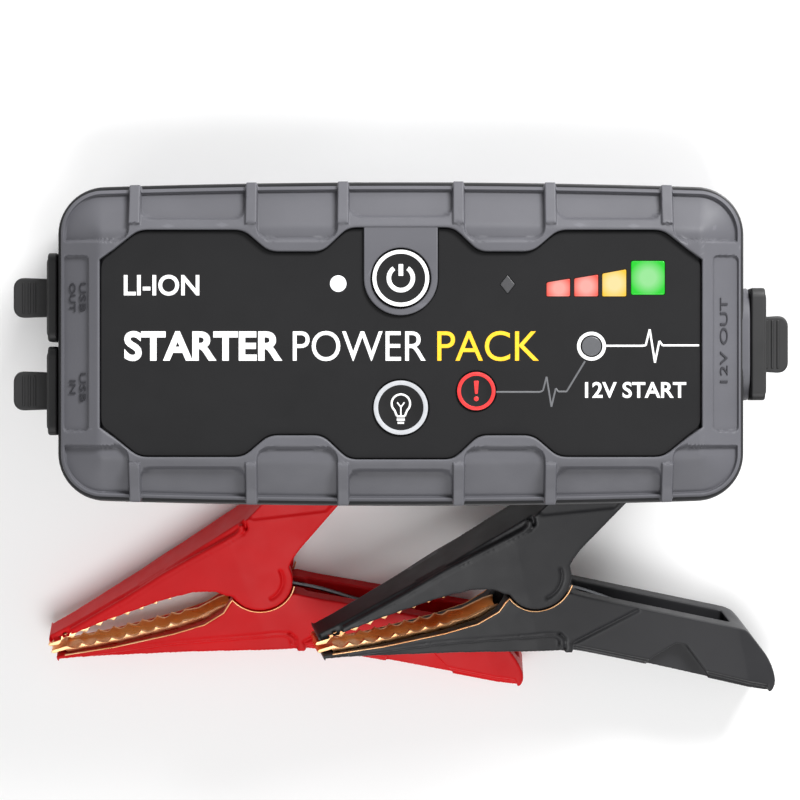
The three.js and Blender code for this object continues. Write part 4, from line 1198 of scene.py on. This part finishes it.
def arm_mesh(arm):
    side = arm["side"]
    outline = seen_from_side([*JAW_EDGE, *arm["pivot_side"], *arm["handle"], *arm["back"], *JAW_BACK], side)
    mesh = plate([rounded(outline, 0.5, 4)], -ARM_HALF, ARM_HALF, 0)
    bore = disc(PIN_RADIUS + GAP, -PIN_HALF - GAP, PIN_HALF + GAP, 32)
    clear = BOSS_RADIUS + GAP
    if side > 0:
        mesh = boolean(mesh, [disc(BOSS_RADIUS, -ARM_HALF, ARM_HALF)], "UNION")
        mesh = boolean(mesh, [arm_channel(arm), disc(clear, -CHEEK_INSIDE, CHEEK_INSIDE), bore])
    else:
        mesh = boolean(mesh, [disc(clear, -20, -LUG_OUTSIDE), disc(clear, LUG_OUTSIDE, 20)])
        mesh = boolean(mesh, [disc(LUG_RADIUS, -LUG_OUTSIDE, LUG_OUTSIDE)], "UNION")
        hollow = boolean(arm_channel(arm), [block(-9.5, 9.5, -60, 60, -10, 10, 0, 0.01)])
        mesh = boolean(mesh, [hollow, block(-10, 10, -14, 20, -LUG_INSIDE, LUG_INSIDE, 0, 0.01), bore])
    mesh = boolean(mesh, [slab(0)], "INTERSECT")
    cutters = [face_cutter(arm["ledge"], LEDGE_DEPTH), lead_inlet(side)]
    cutters += [face_cutter(area, depth) for area, depth in arm["steps"]]
    if side > 0:
        crescent = arc(0, 0, 6.5, -85, 12, 30) + arc(0, 0, 5.6, 12, -85, 30)
        cutters.append(face_cutter(crescent, 0.6))
    mesh = boolean(mesh, cutters)
    return moulded(joined([mesh, *bead(arm["bead"], BEAD_RADIUS, BEAD_RADIUS)]))


def jaw_edge(x):
    return float(np.interp(x, *zip(*JAW_EDGE)))


def scallops(phase):
    """The jaw's teeth: round hollows that meet in cusps."""
    points = []
    start = -57 + phase * TOOTH_PITCH
    for first in np.arange(start, -23.9, TOOTH_PITCH):
        for t in np.linspace(0, 1, 7)[:-1]:
            x = first + t * TOOTH_PITCH
            points.append((x, jaw_edge(x) - TOOTH_REACH - TOOTH_HEIGHT * (1 - abs(math.sin(math.pi * t)))))
    return points + [(-20, jaw_edge(-20) - TOOTH_REACH), (-14, jaw_edge(-14) - TOOTH_REACH), (-11.2, 3.0)]


def jaw_mesh(side):
    back = [(-11.6, 5.2), (-18, 7.2), (-27, 7.4), (-43, 5.0), (-55.4, 2.5)]
    nose = [(-55.8, 1.6), (-59.0, 1.6), (-59.5, 1.1), (-59.0, 0.6)]
    outline = seen_from_side(scallops(0.1 if side > 0 else 0.5) + back + nose, side)
    hollow = [(-55, -4), (-9, -4), (-9, 4.4), (-18, 6.3), (-27, 6.5), (-43, 4.2), (-55, 1.8)]
    hollow = seen_from_side(hollow, side)
    if side < 0:
        outline.reverse()
        hollow.reverse()
    blank = plate([outline], -JAW_HALF, JAW_HALF, 0.12, 2)
    return boolean(blank, [plate([hollow], -JAW_INSIDE, JAW_INSIDE, 0)])


def jaw_liner():
    """Turned edge of the copper plate, which shows round the lower arm's pivot hollow."""
    inner = [(-56, -5.0), (-43, -6.75), (-27, -7.85), (-18, -7.75), (-12, -6.0), (-9.7, -3.9)]
    path = inner + arc(0, 0, BOSS_RADIUS + 0.55, 200, 330, 30)
    return joined(bead(path, LINER_RADIUS, LINER_SUNK))


def build_clamp(colour, plastic, slot):
    place = clamp_frame(colour)
    for name, arm in ARMS.items():
        body = f"{colour}_{arm['body']}"
        node = f"{colour}_{name}"
        piece(node + "_arm_shell", arm_mesh(arm), plastic, body, slot, [node + "_arm"], place, 60)
        jaw = jaw_mesh(arm["side"])
        piece(node + "_jaw_plate", jaw, COPPER, body, "jaw_copper", [node + "_jaw"], place, 40)
    piece(colour + "_jaw_liner", jaw_liner(), COPPER, colour + "_clamp", "jaw_copper", (), place, 60)


build_clamp("red", RED_PLASTIC, "red_plastic")
build_clamp("black", CLAMP_BLACK, "clamp_black")

# ---- CAD parts that show as they are

CAD_PLASTICS = {
    "seal_rubber": ((40, 40, 40), 0.7, 0.2, 0.02),
    "switch_plastic": ((52, 52, 56), 0.4, 0.1, 0.01),
    "board_green": ((22, 92, 52), 0.35, 0.5, 0.02, 0.15),
    "relay_case": ((28, 52, 96), 0.4, 0.2, 0.02),
}
CAD_METALS = {
    "cell_pouch": ((190, 194, 200), (160, 165, 172), 0.38, (0.3, 1, 1), 0.05),
    "heat_sink_metal": ((200, 204, 208), (176, 180, 186), 0.28, (0.1, 1, 1)),
    "port_steel": ((186, 188, 192), (160, 162, 168), 0.24, (0.1, 1, 1)),
    "contact_brass": ((214, 176, 96), (190, 148, 74), 0.26),
}
CAD_LOOKS = {
    "black_plastic": BLACK_PLASTIC,
    "screw_steel": SCREW_STEEL,
    "clear_lens": glass("clear_lens", (0.9, 0.93, 0.95, 1)),
    "led_yellow": glowing("led_yellow", (236, 208, 110), (250, 224, 140), 0.15),
}
CAD_LOOKS.update((name, moulded_plastic(name, *values)) for name, values in CAD_PLASTICS.items())
CAD_LOOKS.update((name, metal(name, *values)) for name, values in CAD_METALS.items())


def finish_cad_parts():
    slots = {part["node"]: part["material_slot"] for part in record["subparts"]}
    for name, node in frame["nodes"].items():
        if slots.get(name) in CAD_LOOKS:
            for material_slot in node.material_slots:
                material_slot.link = "OBJECT"
                material_slot.material = CAD_LOOKS[slots[name]]


finish_cad_parts()
